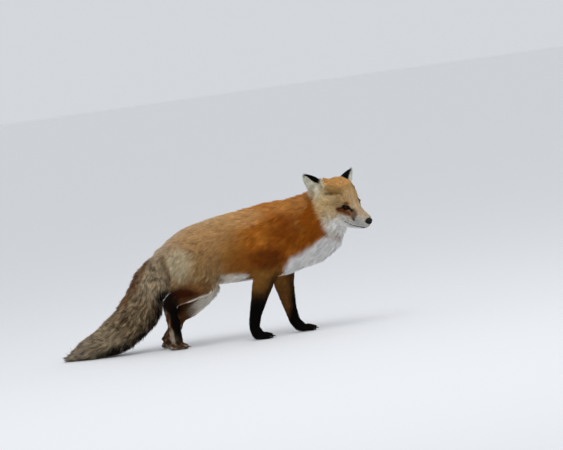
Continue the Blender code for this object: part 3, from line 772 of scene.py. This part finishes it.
def belowLine(points, line):  # how far each point lies ahead of or below a line that runs back and down
    nearest = np.full(len(points), np.inf)
    crossed = np.zeros(len(points), bool)
    outline = np.array([(0.4, 0.2), *line, (-0.4, -0.5), (0.4, -0.5), (0.4, 0.2)])
    for k, (start, end) in enumerate(zip(outline[:-1], outline[1:])):
        reach = end - start
        share = np.clip((points - start) @ reach / (reach @ reach), 0, 1)[:, None]
        if 0 < k <= len(line) - 1:
            nearest = np.minimum(nearest, lengths(points - start - share * reach))
        spans = (start[1] > points[:, 1]) != (end[1] > points[:, 1])
        at = start[0] + reach[0] * (points[:, 1] - start[1]) / (reach[1] if reach[1] else 1)
        crossed ^= spans & (points[:, 0] < at)
    return np.where(crossed, nearest, -nearest)


def markOrigins(of):  # the middles that a mark is measured from, with the side of the fox for each
    found = [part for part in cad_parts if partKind(part) == of]
    return [(np.array(middle(part)), ("_left" in part) - ("_right" in part)) for part in found]


def fromMark(points, mark):  # distance from a mark's middle or line, as a share of its half size
    if isinstance(mark["at"], list):
        return alongLine(points, mark["at"]) / mm(mark["size"])
    return lengths((points - mm(mark["at"])) / mm(mark["size"]))


def markShare(mark, ahead, places, normals, onFace, onEar):
    soft = (1 + mark["blur"], 1 - mark["blur"])
    if mark["of"] == "face":
        where = onFace | onEar if mark["ears"] else onFace
        return smoothStep(*soft, fromMark(ahead, mark)) * where
    share = np.zeros(len(places))
    for origin, way in markOrigins(mark["of"]):
        near = places - origin
        near[:, 1] = near[:, 1] * way if way else np.abs(near[:, 1])
        if isinstance(mark["at"], list):
            near[:, 1] = 0
        on = smoothStep(*soft, fromMark(near, mark)) * (places[:, 1] * way > -0.01 if way else ~onFace)
        if mark["facing"]:
            on *= smoothStep(*mark["squarely"], normals * (1, way or 1, 1) @ unitOf(mark["facing"]))
        share = np.maximum(share, on)
    return share


def layWhite(tones, places, kinds):  # the white underside and the collar, and where they are
    white = whiteUnder
    fromNeck = places - np.array(middle("neck"))
    upwards = smoothStep(*mm(white["faces"]), fromNeck[:, 2])
    fromNeck[:, 0] -= white["farSide"] * np.maximum(fromNeck[:, 1], 0) * upwards
    below = belowLine(fromNeck[:, [0, 2]], mm(white["line"]))
    under = smoothStep(-mm(white["blur"]), mm(white["blur"]), below)
    collar = np.where(kinds == "neck", smoothStep(*mm(white["collar"]), below), kinds == "head")
    collar = (1 - under) * collar
    tones += collar[:, None] * (linear(white["collarTone"]) - tones)
    share = under * np.isin(kinds, white["parts"])
    rear = smoothStep(*mm(white["rear"]), fromNeck[:, 0])[:, None]
    tone = linear(white["tone"]) * (1 - rear) + linear(white["rearTone"]) * rear
    tones += share[:, None] * (tone - tones)
    high = share * smoothStep(*mm(white["high"]), fromNeck[:, 2])
    tones += high[:, None] * (linear(white["highTone"]) - tones)
    return under, share, collar


def paintMarks(tones, places, parts, normals):
    ragged = [cloud(places, markSettings["raggedSize"], seed) for seed in (1, 2, 3)]
    places = places + markSettings["ragged"] * np.stack(ragged, axis=1)
    kinds = kindsOf(parts)
    onFace, onEar, onTail = np.isin(parts, faceParts), kinds == "ear", np.char.startswith(kinds, "tail")
    under, white, collar = layWhite(tones, places, kinds)
    for seed, (on, size, pale, dark, amount) in enumerate(mottles.values()):
        here = np.flatnonzero(np.isin(kinds, on) & (white < 0.5) & ((kinds != "head") | (collar < 0.3)))
        if len(here):
            height = 2.2 * cloud(places[here], mm(size), 11 + seed)
            for tone, much in ((pale, height), (dark, -height)):
                tones[here] += amount * smoothStep(0, 1, much)[:, None] * (linear(tone) - tones[here])
    ahead, _side = mirroredHead(places)
    for mark in coatMarks.values():
        share = markShare(mark, ahead, places, normals, onFace, onEar)
        if mark["of"] != "face":
            share *= onTail if mark["of"].startswith("tail") else ~onTail
        if mark["of"] in whiteUnder["parts"]:
            share *= 1 - under
        tones += (mark["amount"] * share)[:, None] * (linear(mark["tone"]) - tones)
    share = smoothStep(1.5 * lidMark["wide"], 0.7 * lidMark["wide"], fromLids(ahead)[0]) * onFace
    return tones + share[:, None] * (linear(lidMark["tone"]) - tones)


# The coat's pieces: slot, what each grows on, how many tufts, and how wide in mm. Tufts wander by "swirl" and
# "stray", in radians, and grow where the coat is from "over" to "upTo" mm long; the shortest are straight
def piece(slot, on, tufts, wide, swirl=0.20, stray=0.11, over=0, upTo=1000, straight=False):
    return {
        "slot": slot, "on": on, "tufts": tufts, "wide": wide, "swirl": swirl, "stray": stray, "over": over,
        "upTo": upTo, "straight": straight,
    }


faceKinds = ("head", "lower_jaw", "nose", "eye")
footKinds = ("foreleg_lower", "forepaw", "hind_foot", "hind_paw")
coatPieces = {
    "faceCoat": piece("coat_tan", faceKinds, 36000, 0.9, upTo=9.5, straight=True),
    "headCoat": piece("coat_tan", faceKinds, 17000, 1.3, over=9.5),
    "earCoat": piece("coat_black", ("ear",), 15000, 0.8, straight=True),
    "neckCoat": piece("coat_rust", ("neck",), 17000, 1.5),
    "chestCoat": piece("coat_rust", ("chest",), 16000, 1.5),
    "loinCoat": piece("coat_rust", ("loin",), 9000, 1.5),
    "rumpCoat": piece("coat_tan", ("rump",), 16500, 1.4, swirl=0.28, stray=0.22),
    "thighCoat": piece("coat_tan", ("thigh", "shank"), 15500, 1.3, swirl=0.28, stray=0.22),
    "forelegCoat": piece("coat_brown", ("foreleg_upper",), 9000, 1.2),
    "footCoat": piece("coat_black", footKinds, 20000, 1.0, straight=True),
    "tailCoat": piece("coat_grizzled", ("tail_root", "tail_middle"), 13500, 1.9, swirl=0.45, stray=0.30),
    "brushCoat": piece("coat_grizzled", ("tail_brush", "tail_tip"), 9000, 1.8, swirl=0.40, stray=0.25),
}
tuftSettings = {
    "reach": (0.55, 1.08),  # how much of the coat's depth a tuft's tip rises through
    "lengths": (0.75, 1.1),
    "steepest": 0.85,  # its rise against its length, at most
    "curveOver": 1.7,  # how soon a tuft lies down towards its tip
    "sunk": 0.0006,
    "sway": 0.07,
    "swirlSize": 0.035,
    "clumpOf": 13,  # tufts drawn together into one lock
    "clumpPull": 0.45,
    "middlePull": 0.35,  # of the pull on its tip
    "overFloor": 0.0008,
    "shows": 0.65,  # how far towards its tip lies the stretch that shows
    "uneven": 0.10,  # in tone, from lock to lock and from tuft to tuft
    # painted shade: each tuft is darker towards its root, deep in the coat, and a little lighter at its tip
    "rootShade": 0.70,
    "tipShade": 1.10,
    "patch": 0.003,  # width of a tuft's place on the unwrap
}
tickSettings = {
    "dark": (0.46, 0.34), "darkness": 0.66, "pale": (0.60, 0.72), "paleness": 0.55, "paleTone": "#d2bd9c",
}


def unwrapSkin():
    onlySelect(skin)
    skin.data.uv_layers.new(name="skinPlaces")
    bpy.ops.object.mode_set(mode="EDIT")
    bpy.ops.mesh.select_all(action="SELECT")
    bpy.ops.uv.smart_project(angle_limit=math.radians(75), island_margin=0.003)
    bpy.ops.object.mode_set(mode="OBJECT")


def skinTriangles():
    mesh = skin.data
    mesh.calc_loop_triangles()
    corners = readValues(mesh.loop_triangles, "vertices", 3, int)
    spots = readValues(mesh.uv_layers["skinPlaces"].data, "uv", 2)
    return corners, spots[readValues(mesh.loop_triangles, "loops", 3, int)]


def scatterRoots(plan, corners, spots):  # evenly over the faces that the piece grows on
    places = skinPlaces[corners]
    areas = lengths(np.cross(places[:, 1] - places[:, 0], places[:, 2] - places[:, 0]))
    long = lie["long"][corners].mean(axis=1) * 1000
    here = ~lie["bare"][corners].any(axis=1) & np.isin(skinKinds[corners[:, 0]], plan["on"])
    here &= (long >= plan["over"]) & (long < plan["upTo"])
    weights = np.cumsum(areas * here / np.sqrt(np.maximum(long, 3)))
    count = plan["tufts"]
    chosen = np.searchsorted(weights, (np.arange(count) + dice.random(count)) / count * weights[-1])
    one, other = dice.random((2, count))
    over = one + other > 1
    one[over], other[over] = 1 - one[over], 1 - other[over]
    shares = np.stack([1 - one - other, one, other], axis=1)

    def mix(values):
        return np.einsum("nk,nk...->n...", shares, values[corners[chosen]])

    roots = {key: mix(lie[key]) for key in ("flow", "long", "depth", "tone", "tick")}
    roots["place"] = mix(skinPlaces)
    roots["normal"] = unit(mix(skinNormals))
    roots["spot"] = np.einsum("nk,nkj->nj", shares, spots[chosen])
    roots["part"] = lie["part"][corners[chosen, 0]]
    return roots


def growTufts(roots, plan):  # base, middle and tip of each tuft, and the clump that it belongs to
    count = len(roots["place"])
    normal = roots["normal"]
    flow = unit(roots["flow"] - normal * (roots["flow"] * normal).sum(axis=1, keepdims=True))
    side = np.cross(normal, flow)
    turn = plan["swirl"] * 2 * cloud(roots["place"], tuftSettings["swirlSize"], 5)
    turn = (turn + plan["stray"] * dice.standard_normal(count))[:, None]
    flow, side = flow * np.cos(turn) + side * np.sin(turn), side * np.cos(turn) - flow * np.sin(turn)
    length = roots["long"] * dice.uniform(*tuftSettings["lengths"], count)
    rise = roots["depth"] * dice.uniform(*tuftSettings["reach"], count)
    rise = np.minimum(rise, tuftSettings["steepest"] * length)
    run = np.sqrt(length**2 - rise**2)
    sway = tuftSettings["sway"] * length * dice.standard_normal(count)

    def point(share):
        up = rise * (1 - (1 - share) ** tuftSettings["curveOver"])
        along = flow * (run * share)[:, None]
        return roots["place"] + along + normal * up[:, None] + side * (sway * share**2)[:, None]

    base, middleOf, tip = point(0.0) - tuftSettings["sunk"] * normal, point(0.5), point(1.0)
    leaders = dice.choice(count, max(1, count // tuftSettings["clumpOf"]), replace=False)
    tree = kdtree.KDTree(len(leaders))
    for at, leader in enumerate(leaders):
        tree.insert(roots["place"][leader], at)
    tree.balance()
    clump = leaders[[tree.find(place)[1] for place in roots["place"]]]
    pull = tuftSettings["clumpPull"] * dice.uniform(0.5, 1.2, count)[:, None]
    draw = tip[clump] - tip
    draw *= np.minimum(1, 0.5 * length / np.maximum(lengths(draw), 1e-9))[:, None]
    tip += pull * draw
    middleOf += tuftSettings["middlePull"] * pull * draw
    for places in (middleOf, tip):
        places[:, 2] = np.maximum(places[:, 2], tuftSettings["overFloor"])
    return base, middleOf, tip, clump


def tuftTones(roots, tip, clump):
    seen = (1 - tuftSettings["shows"]) * roots["place"] + tuftSettings["shows"] * tip
    tones = paintMarks(roots["tone"].copy(), seen, roots["part"], roots["normal"])
    count = len(tones)
    perClump = dice.standard_normal(count)[clump]
    tones *= np.exp(tuftSettings["uneven"] * (perClump + dice.standard_normal(count)))[:, None]
    lot = dice.random(count) * 0.55 + 0.45 * dice.random(count)[clump]
    plain = 0.5 * (1 - roots["tick"])
    dark = smoothStep(*tickSettings["dark"], lot + plain)
    pale = smoothStep(*tickSettings["pale"], lot - plain)
    tips = tones * (1 - tickSettings["darkness"] * dark[:, None])
    tips += tickSettings["paleness"] * pale[:, None] * (linear(tickSettings["paleTone"]) - tips)
    return tones, tips


def ringPoints(centre, along, half, spin):  # three corners round a tuft
    aside = unit(np.cross(along, np.array([0.31, 0.52, 0.79])))
    across = np.cross(along, aside)
    rings = []
    for k in range(3):
        angle = spin + k * 2 * math.pi / 3
        out = aside * np.cos(angle)[:, None] + across * np.sin(angle)[:, None]
        rings.append((centre + out * half[:, None], out))
    return rings


def buildCoat(name, plan, corners, spots):
    roots = scatterRoots(plan, corners, spots)
    base, middleOf, tip, clump = growTufts(roots, plan)
    tones, tips = tuftTones(roots, tip, clump)
    count = len(tones)
    half = plan["wide"] / 2000 * dice.uniform(0.75, 1.25, count)
    spin = dice.uniform(0, 2 * math.pi, count)
    # painted shade on the root rings, where the coat shades each tuft
    shown = [tuftSettings["rootShade"] * tones] * 3
    if plan["straight"]:
        rings = ringPoints(base, unit(tip - base), half, spin)
        faces = [(0, 2, 1), (0, 1, 3), (1, 2, 3), (2, 0, 3)]
    else:
        rings = ringPoints(base, unit(middleOf - base), half, spin)
        rings += ringPoints(middleOf, unit(tip - base), 0.85 * half, spin)
        shown += [0.5 * tones + 0.5 * tips] * 3
        faces = [(0, 2, 1), (0, 1, 3), (1, 4, 3), (1, 2, 4), (2, 5, 4), (2, 0, 5), (0, 3, 5)]
        faces += [(3, 4, 6), (4, 5, 6), (5, 3, 6)]
    shown.append(tuftSettings["tipShade"] * tips)
    points = np.stack([place for place, _ in rings] + [tip], axis=1)
    outs = np.stack([out for _, out in rings] + [roots["normal"]], axis=1)
    size = points.shape[1]
    faces = (np.array(faces)[None] + size * np.arange(count)[:, None, None]).reshape(-1, 3)
    mesh = bpy.data.meshes.new(name)
    mesh.vertices.add(count * size)
    mesh.vertices.foreach_set("co", points.astype(np.float32).ravel())
    mesh.loops.add(faces.size)
    mesh.loops.foreach_set("vertex_index", faces.ravel().astype(np.int32))
    mesh.polygons.add(len(faces))
    mesh.polygons.foreach_set("loop_start", np.arange(0, faces.size, 3, dtype=np.int32))
    mesh.update(calc_edges=True)
    mesh.shade_smooth()
    writeTones(mesh, np.stack(shown, axis=1).reshape(-1, 3))
    patch = [(-1, -1), (0, -1.2), (1, -1), (-1, 0), (0, -0.2), (1, 0)][:size - 1] + [(0, 1)]
    placed = (roots["spot"][:, None] + tuftSettings["patch"] / 2 * np.array(patch)).reshape(-1, 2)
    placed = placed[faces.ravel()].astype(np.float32)
    mesh.uv_layers.new(name="OFBake").data.foreach_set("uv", placed.ravel())
    soft = unit((0.6 * np.repeat(roots["normal"][:, None], size, axis=1) + 0.4 * outs).reshape(-1, 3))
    mesh.normals_split_custom_set_from_vertices(soft.astype(np.float32))
    coat = addThing(name, mesh)
    mesh.materials.append(furMaterial)
    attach(coat, "root")
    print(name, len(faces), "faces")


def addNode(tree, kind, inputs=(), **settings):  # its inputs are values or links
    made = tree.nodes.new("ShaderNode" + kind)
    for name, value in settings.items():
        setattr(made, name, value)
    for name, value in dict(inputs).items():
        if isinstance(value, bpy.types.NodeSocket):
            tree.links.new(value, made.inputs[name])
        else:
            made.inputs[name].default_value = value
    return made


def newMaterial(name, roughness, specular=0.5, colour=None):  # with its node tree and its shader's inputs
    material = bpy.data.materials.new(name)
    material.use_nodes = True
    inputs = material.node_tree.nodes["Principled BSDF"].inputs
    inputs["Roughness"].default_value = roughness
    inputs["Specular IOR Level"].default_value = specular
    if colour:
        inputs["Base Color"].default_value = (*linear(colour), 1)
    return material, material.node_tree, inputs


def furStrands(name, roughness):  # dull strands in the tones painted on them
    material, tree, inputs = newMaterial(name, roughness, 0.05)
    tone = addNode(tree, "Attribute", attribute_name="tone")
    tree.links.new(tone.outputs["Color"], inputs["Base Color"])
    return material


furMaterial = furStrands("guardHair", 0.6)
skinMaterial = furStrands("underfur", 0.85)
unwrapSkin()
skinPlaces, skinNormals, skinKinds = readPlaces(skin), readNormals(skin), kindsOf(lie["part"])
skinTones = paintMarks(lie["tone"].copy(), lie["outer"], lie["part"], skinNormals)
# the skin takes the coat's tones with painted shade, as it lies deep under the tufts
writeTones(skin.data, skinSettings["shade"] * skinTones)
skin.data.materials.append(skinMaterial)
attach(skin, "root")
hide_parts(*[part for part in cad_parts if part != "nose" and not part.startswith("eye")])
corners, spots = skinTriangles()
for name, plan in coatPieces.items():
    buildCoat(name, plan, corners, spots)

# The eyes: a ball with a bulging cornea; where each point lies across the gaze is kept for the iris
eyeBall = {
    "iris": 0.0056,
    "bulge": 0.0009,
    "bulgeWide": 0.62,
    "tones": ((0.0, "#3f1e08"), (0.50, "#2c1505"), (0.84, "#120802"), (1.0, "#030201")),  # outwards
}


def wetEye():  # dark brown iris with a slit pupil and a dark rim, under a clear wet coat
    material, tree, inputs = newMaterial("wetEye", 0.35, 0.03)
    gaze = addNode(tree, "Attribute", attribute_name="acrossGaze")
    parts = addNode(tree, "SeparateXYZ", {"Vector": gaze.outputs["Vector"]})
    flat = addNode(tree, "CombineXYZ", {"X": parts.outputs["X"], "Y": parts.outputs["Y"]})
    fibres = addNode(tree, "TexNoise", {"Vector": gaze.outputs["Vector"], "Scale": 9.0, "Detail": 4.0})
    ring = addNode(tree, "VectorMath", {"Vector": flat.outputs["Vector"]}, operation="LENGTH")
    iris = addNode(tree, "ValToRGB", {"Fac": ring.outputs["Value"]})
    while len(iris.color_ramp.elements) < len(eyeBall["tones"]):
        iris.color_ramp.elements.new(0.5)
    for stop, (at, tone) in zip(iris.color_ramp.elements, eyeBall["tones"]):
        stop.position = at
        stop.color = (*linear(tone), 1)
    mixed = {0: 0.35, 6: iris.outputs["Color"], 7: fibres.outputs["Fac"]}
    flecked = addNode(tree, "Mix", mixed, data_type="RGBA", blend_type="MULTIPLY")
    narrowed = {0: flat.outputs["Vector"], 1: (2.6, 1.15, 0)}
    slit = addNode(tree, "VectorMath", narrowed, operation="MULTIPLY")
    slitReach = addNode(tree, "VectorMath", {0: slit.outputs["Vector"]}, operation="LENGTH")
    reach = slitReach.outputs["Value"]
    pupil = addNode(tree, "MapRange", {"Value": reach, "From Min": 0.62, "From Max": 0.72})
    mixed = {0: pupil.outputs["Result"], 6: (*linear("#040302"), 1), 7: flecked.outputs[2]}
    shown = addNode(tree, "Mix", mixed, data_type="RGBA")
    tree.links.new(shown.outputs[2], inputs["Base Color"])
    inputs["Coat Weight"].default_value = 0.15
    inputs["Coat Roughness"].default_value = 0.03
    return material


def makeEye(side, way):
    bpy.ops.mesh.primitive_uv_sphere_add(segments=40, ring_count=28, radius=1)
    eye = bpy.context.object
    eye.name = eye.data.name = f"eyeball_{side}"
    places = readPlaces(eye)
    bulge = eyeBall["bulge"] * smoothStep(eyeBall["bulgeWide"], 0, lengths(places[:, :2]))
    bulge *= places[:, 2] > 0
    ball = places * (eyeSettings["radius"] + bulge)[:, None]
    ball[:, 2] -= eyeSettings["inset"]
    ahead = ball @ eyeAxes() + eyeSettings["centre"]
    ahead[:, 1] *= way
    writePlaces(eye, fromHead(ahead))
    kept = places * eyeSettings["radius"] / eyeBall["iris"]
    kept[:, 2] = np.where(places[:, 2] > 0, 0, 5)
    across = eye.data.attributes.new("acrossGaze", "FLOAT_VECTOR", "POINT")
    across.data.foreach_set("vector", kept.astype(np.float32).ravel())
    if way < 0:
        eye.data.flip_normals()
    eye.data.shade_smooth()
    eye.data.materials.append(eyeMaterial)
    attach(eye, "root")
    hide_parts(f"eye_{side}")


eyeMaterial = wetEye()
makeEye("left", 1)
makeEye("right", -1)

# The nose pad: a moist black leather with nostrils, a groove down its middle and a flat top
noseSettings = {
    "size": (0.0116, 0.0123, 0.0102),
    "pits": {"nostril": ((0.80, 0.50, -0.05), 0.36, 0.42), "slit": ((0.50, 0.84, -0.20), 0.30, 0.22)},
    "groove": {"wide": 0.07, "deep": 0.10},
    "flatTop": (0.62, 0.22),
}


def blackLeather(name, scale):  # fine pebbled skin, moist, with painted shade in the grooves between the pebbles
    material, tree, inputs = newMaterial(name, 0.42, 0.18)
    place = addNode(tree, "TexCoord")
    pebbles = addNode(tree, "TexVoronoi", {"Vector": place.outputs["Object"], "Scale": scale})
    height = pebbles.outputs["Distance"]
    # painted shade: darker towards the grooves between the pebbles
    tones = addNode(tree, "MapRange", {"Value": height, "To Min": 0.006, "To Max": 0.002})
    bump = addNode(tree, "Bump", {"Height": height, "Strength": 0.5, "Distance": 0.0003}, invert=True)
    tree.links.new(tones.outputs["Result"], inputs["Base Color"])
    tree.links.new(bump.outputs["Normal"], inputs["Normal"])
    return material


def makeNose():
    bpy.ops.mesh.primitive_uv_sphere_add(segments=64, ring_count=40, radius=1)
    nose = bpy.context.object
    nose.name = nose.data.name = "nosePad"
    ball = readPlaces(nose)
    folded = ball.copy()
    folded[:, 1] = np.abs(folded[:, 1])
    scale = np.ones(len(ball))
    for at, reach, deep in noseSettings["pits"].values():
        scale -= deep * smoothStep(reach, 0, lengths(folded - unitOf(at)))
    groove = noseSettings["groove"]
    inFront = (ball[:, 0] > 0.3) * (ball[:, 2] < 0.35)
    scale -= groove["deep"] * np.exp(-((ball[:, 1] / groove["wide"]) ** 2)) * inFront
    shaped = ball * scale[:, None]
    high = shaped[:, 2]
    flat, rounded = noseSettings["flatTop"]
    shaped[:, 2] = np.where(high > 0, flat * high + rounded * np.tanh(2 * high), high)
    at = inHead(np.array(middle("nose"))[None])[0]
    writePlaces(nose, fromHead(shaped * noseSettings["size"] + at))
    nose.data.shade_smooth()
    nose.data.materials.append(blackLeather("noseLeather", 1400))
    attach(nose, "root")
    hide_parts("nose")


makeNose()

# Claws: one curved horn cone, set at the front of each toe
clawSettings = {
    "long": 0.011, "root": 0.0019, "tip": 0.0004, "droop": 38.0, "height": 0.0075, "sunk": 0.0035,
    "toes": ((-0.014, -0.0085), (-0.005, -0.0005), (0.005, -0.0005), (0.014, -0.0085)),  # aside, and ahead
}


def darkHorn():  # dark horn, streaked along each claw
    material, tree, inputs = newMaterial("darkHorn", 0.35)
    place = addNode(tree, "TexCoord")
    streaks = addNode(tree, "TexNoise", {"Vector": place.outputs["Object"], "Scale": 900.0})
    tones = addNode(tree, "MapRange", {"Value": streaks.outputs["Fac"], "To Min": 0.012, "To Max": 0.05})
    tree.links.new(tones.outputs["Result"], inputs["Base Color"])
    return material


def makeClaws():
    settings = clawSettings
    bpy.ops.mesh.primitive_cone_add(
        vertices=12, radius1=settings["root"], radius2=settings["tip"], depth=settings["long"],
        rotation=(0, math.pi / 2, 0),
    )
    claw = bpy.context.object
    bpy.ops.object.transform_apply(rotation=True)
    applyModifier(claw, "SUBSURF", levels=1)
    places = readPlaces(claw)
    places[:, 0] += settings["long"] / 2
    places[:, 2] -= settings["droop"] * places[:, 0] ** 2
    writePlaces(claw, places)
    copies = []
    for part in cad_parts:
        if "paw" in part:
            low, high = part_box(part)
            for aside, ahead in settings["toes"]:
                place = (high.x + ahead - settings["sunk"], (low.y + high.y) / 2 + aside, settings["height"])
                copies.append(addThing("claw", claw.data.copy()))
                copies[-1].data.transform(Matrix.Translation(place))
    bpy.data.objects.remove(claw)
    claws = joinCopies(copies, "claws")
    claws.data.shade_smooth()
    claws.data.materials.append(darkHorn())
    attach(claws, "root")


makeClaws()

# Whiskers: long on the muzzle, a few over each eye and on the cheek; places along the head's axes
whiskerSettings = {
    "rows": [  # from, to, how many, length, and the way they point before they droop
        ((56, 16, -24), (34, 22, -26), 5, 46, (-0.25, 0.95, 0.10)),
        ((56, 16, -29), (32, 23, -32), 6, 58, (-0.30, 0.92, -0.05)),
        ((52, 16, -34), (34, 22, -38), 5, 48, (-0.30, 0.90, -0.20)),
        ((4, 24, 21), (-6, 30, 21), 3, 30, (-0.20, 0.55, 0.80)),
        ((-12, 44, -34), (-16, 46, -36), 2, 30, (-0.50, 0.85, -0.15)),
    ],
    "thick": 0.00013,
    "droop": 0.32,
    "rings": 7,
}


def makeWhiskers():
    ground = [face.vertices[:] for face in skin.data.polygons]
    ground = bvhtree.BVHTree.FromPolygons(readPlaces(skin).tolist(), ground)
    rings = whiskerSettings["rings"]
    droop = whiskerSettings["droop"] * np.array([-0.6, 0, -1])
    turns = [(math.cos(turn * 2 * math.pi / 3), 0, math.sin(turn * 2 * math.pi / 3)) for turn in range(3)]
    corners, faces = [], []
    for start, end, count, long, way in whiskerSettings["rows"]:
        for k in range(count):
            for side in (-1, 1):
                share = (k + dice.uniform(-0.25, 0.25)) / max(count - 1, 1)
                at = mm(start) * (1 - share) + mm(end) * share
                root = np.array(ground.find_nearest(Vector(fromHead(at * (1, side, 1))))[0])
                reach = mm(long) * dice.uniform(0.8, 1.1)
                towards = unitOf(way + 0.12 * dice.standard_normal(3)) * (1, side, 1)
                first = len(corners)
                for ring in range(rings):
                    along = ring / (rings - 1)
                    centre = root + inHeadTurn(reach * (towards * (along - 0.03) + droop * along**2))
                    thick = whiskerSettings["thick"] * (1 - 0.9 * along)
                    corners += [centre + inHeadTurn(thick * np.array(turn)) for turn in turns]
                for ring in range(first, first + 3 * rings - 3, 3):
                    for one, other in ((0, 1), (1, 2), (2, 0)):
                        faces.append((ring + one, ring + other, ring + other + 3, ring + one + 3)[::side])
                last = first + 3 * rings - 3
                faces += [(first, first + 2, first + 1)[::side], (last, last + 1, last + 2)[::side]]
    mesh = bpy.data.meshes.new("whiskers")
    mesh.from_pydata([corner.tolist() for corner in corners], [], faces)
    mesh.shade_smooth()
    whiskers = addThing("whiskers", mesh)
    mesh.materials.append(newMaterial("whiskerHair", 0.4, colour="#2a231d")[0])
    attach(whiskers, "root")


makeWhiskers()
print("eyes, nose, claws and whiskers")

# Camera, light and floor
viewSettings = {
    "turn": 10,  # degrees round the fox, from square on to its right side
    "above": 3,
    "roll": 8,
    "lens": 200,  # mm, on a 36 mm sensor
    "distance": 9.38,
    "aim": (0.1995, 0.0550, 0.0873),  # from the middle of the fox
}
lightSettings = {"place": (0.8, -2.2, 4.2), "aim": (0, 0, 0.25), "size": 3.0, "power": 58, "room": 0.74}


def setCamera():
    turn, above = math.radians(viewSettings["turn"]), math.radians(viewSettings["above"])
    back = Vector((math.sin(turn) * math.cos(above), -math.cos(turn) * math.cos(above), math.sin(above)))
    camera = addThing("camera", bpy.data.cameras.new("camera"))
    camera.data.lens = viewSettings["lens"]
    camera.location = (cadLow + cadHigh) / 2 + Vector(viewSettings["aim"]) + back * viewSettings["distance"]
    upright = back.to_track_quat("Z", "Y").to_matrix().to_4x4()
    rolled = Matrix.Rotation(math.radians(-viewSettings["roll"]), 4, "Z")
    camera.rotation_euler = (upright @ rolled).to_euler()
    bpy.context.scene.camera = camera


def setLight():
    lamp = addThing("keyLight", bpy.data.lights.new("keyLight", "AREA"))
    lamp.data.shape = "DISK"
    lamp.data.size = lightSettings["size"]
    lamp.data.energy = lightSettings["power"]
    lamp.location = lightSettings["place"]
    lamp.rotation_euler = (lamp.location - Vector(lightSettings["aim"])).to_track_quat("Z", "Y").to_euler()
    world = bpy.data.worlds.new("softRoom")
    bpy.context.scene.world = world
    world.use_nodes = True
    world.node_tree.nodes["Background"].inputs["Color"].default_value = (*linear("#f2f5fa"), 1)
    world.node_tree.nodes["Background"].inputs["Strength"].default_value = lightSettings["room"]


def setFloor():  # matt white paper
    bpy.ops.mesh.primitive_circle_add(vertices=96, radius=90, fill_type="NGON", location=(0, 0, -0.0005))
    floor = bpy.context.object
    floor.name = "floor"
    floor.data.materials.append(newMaterial("paperFloor", 0.9, colour="#f7f8f9")[0])


setCamera()
setFloor()
setLight()
bpy.context.scene.view_settings.view_transform = "Standard"
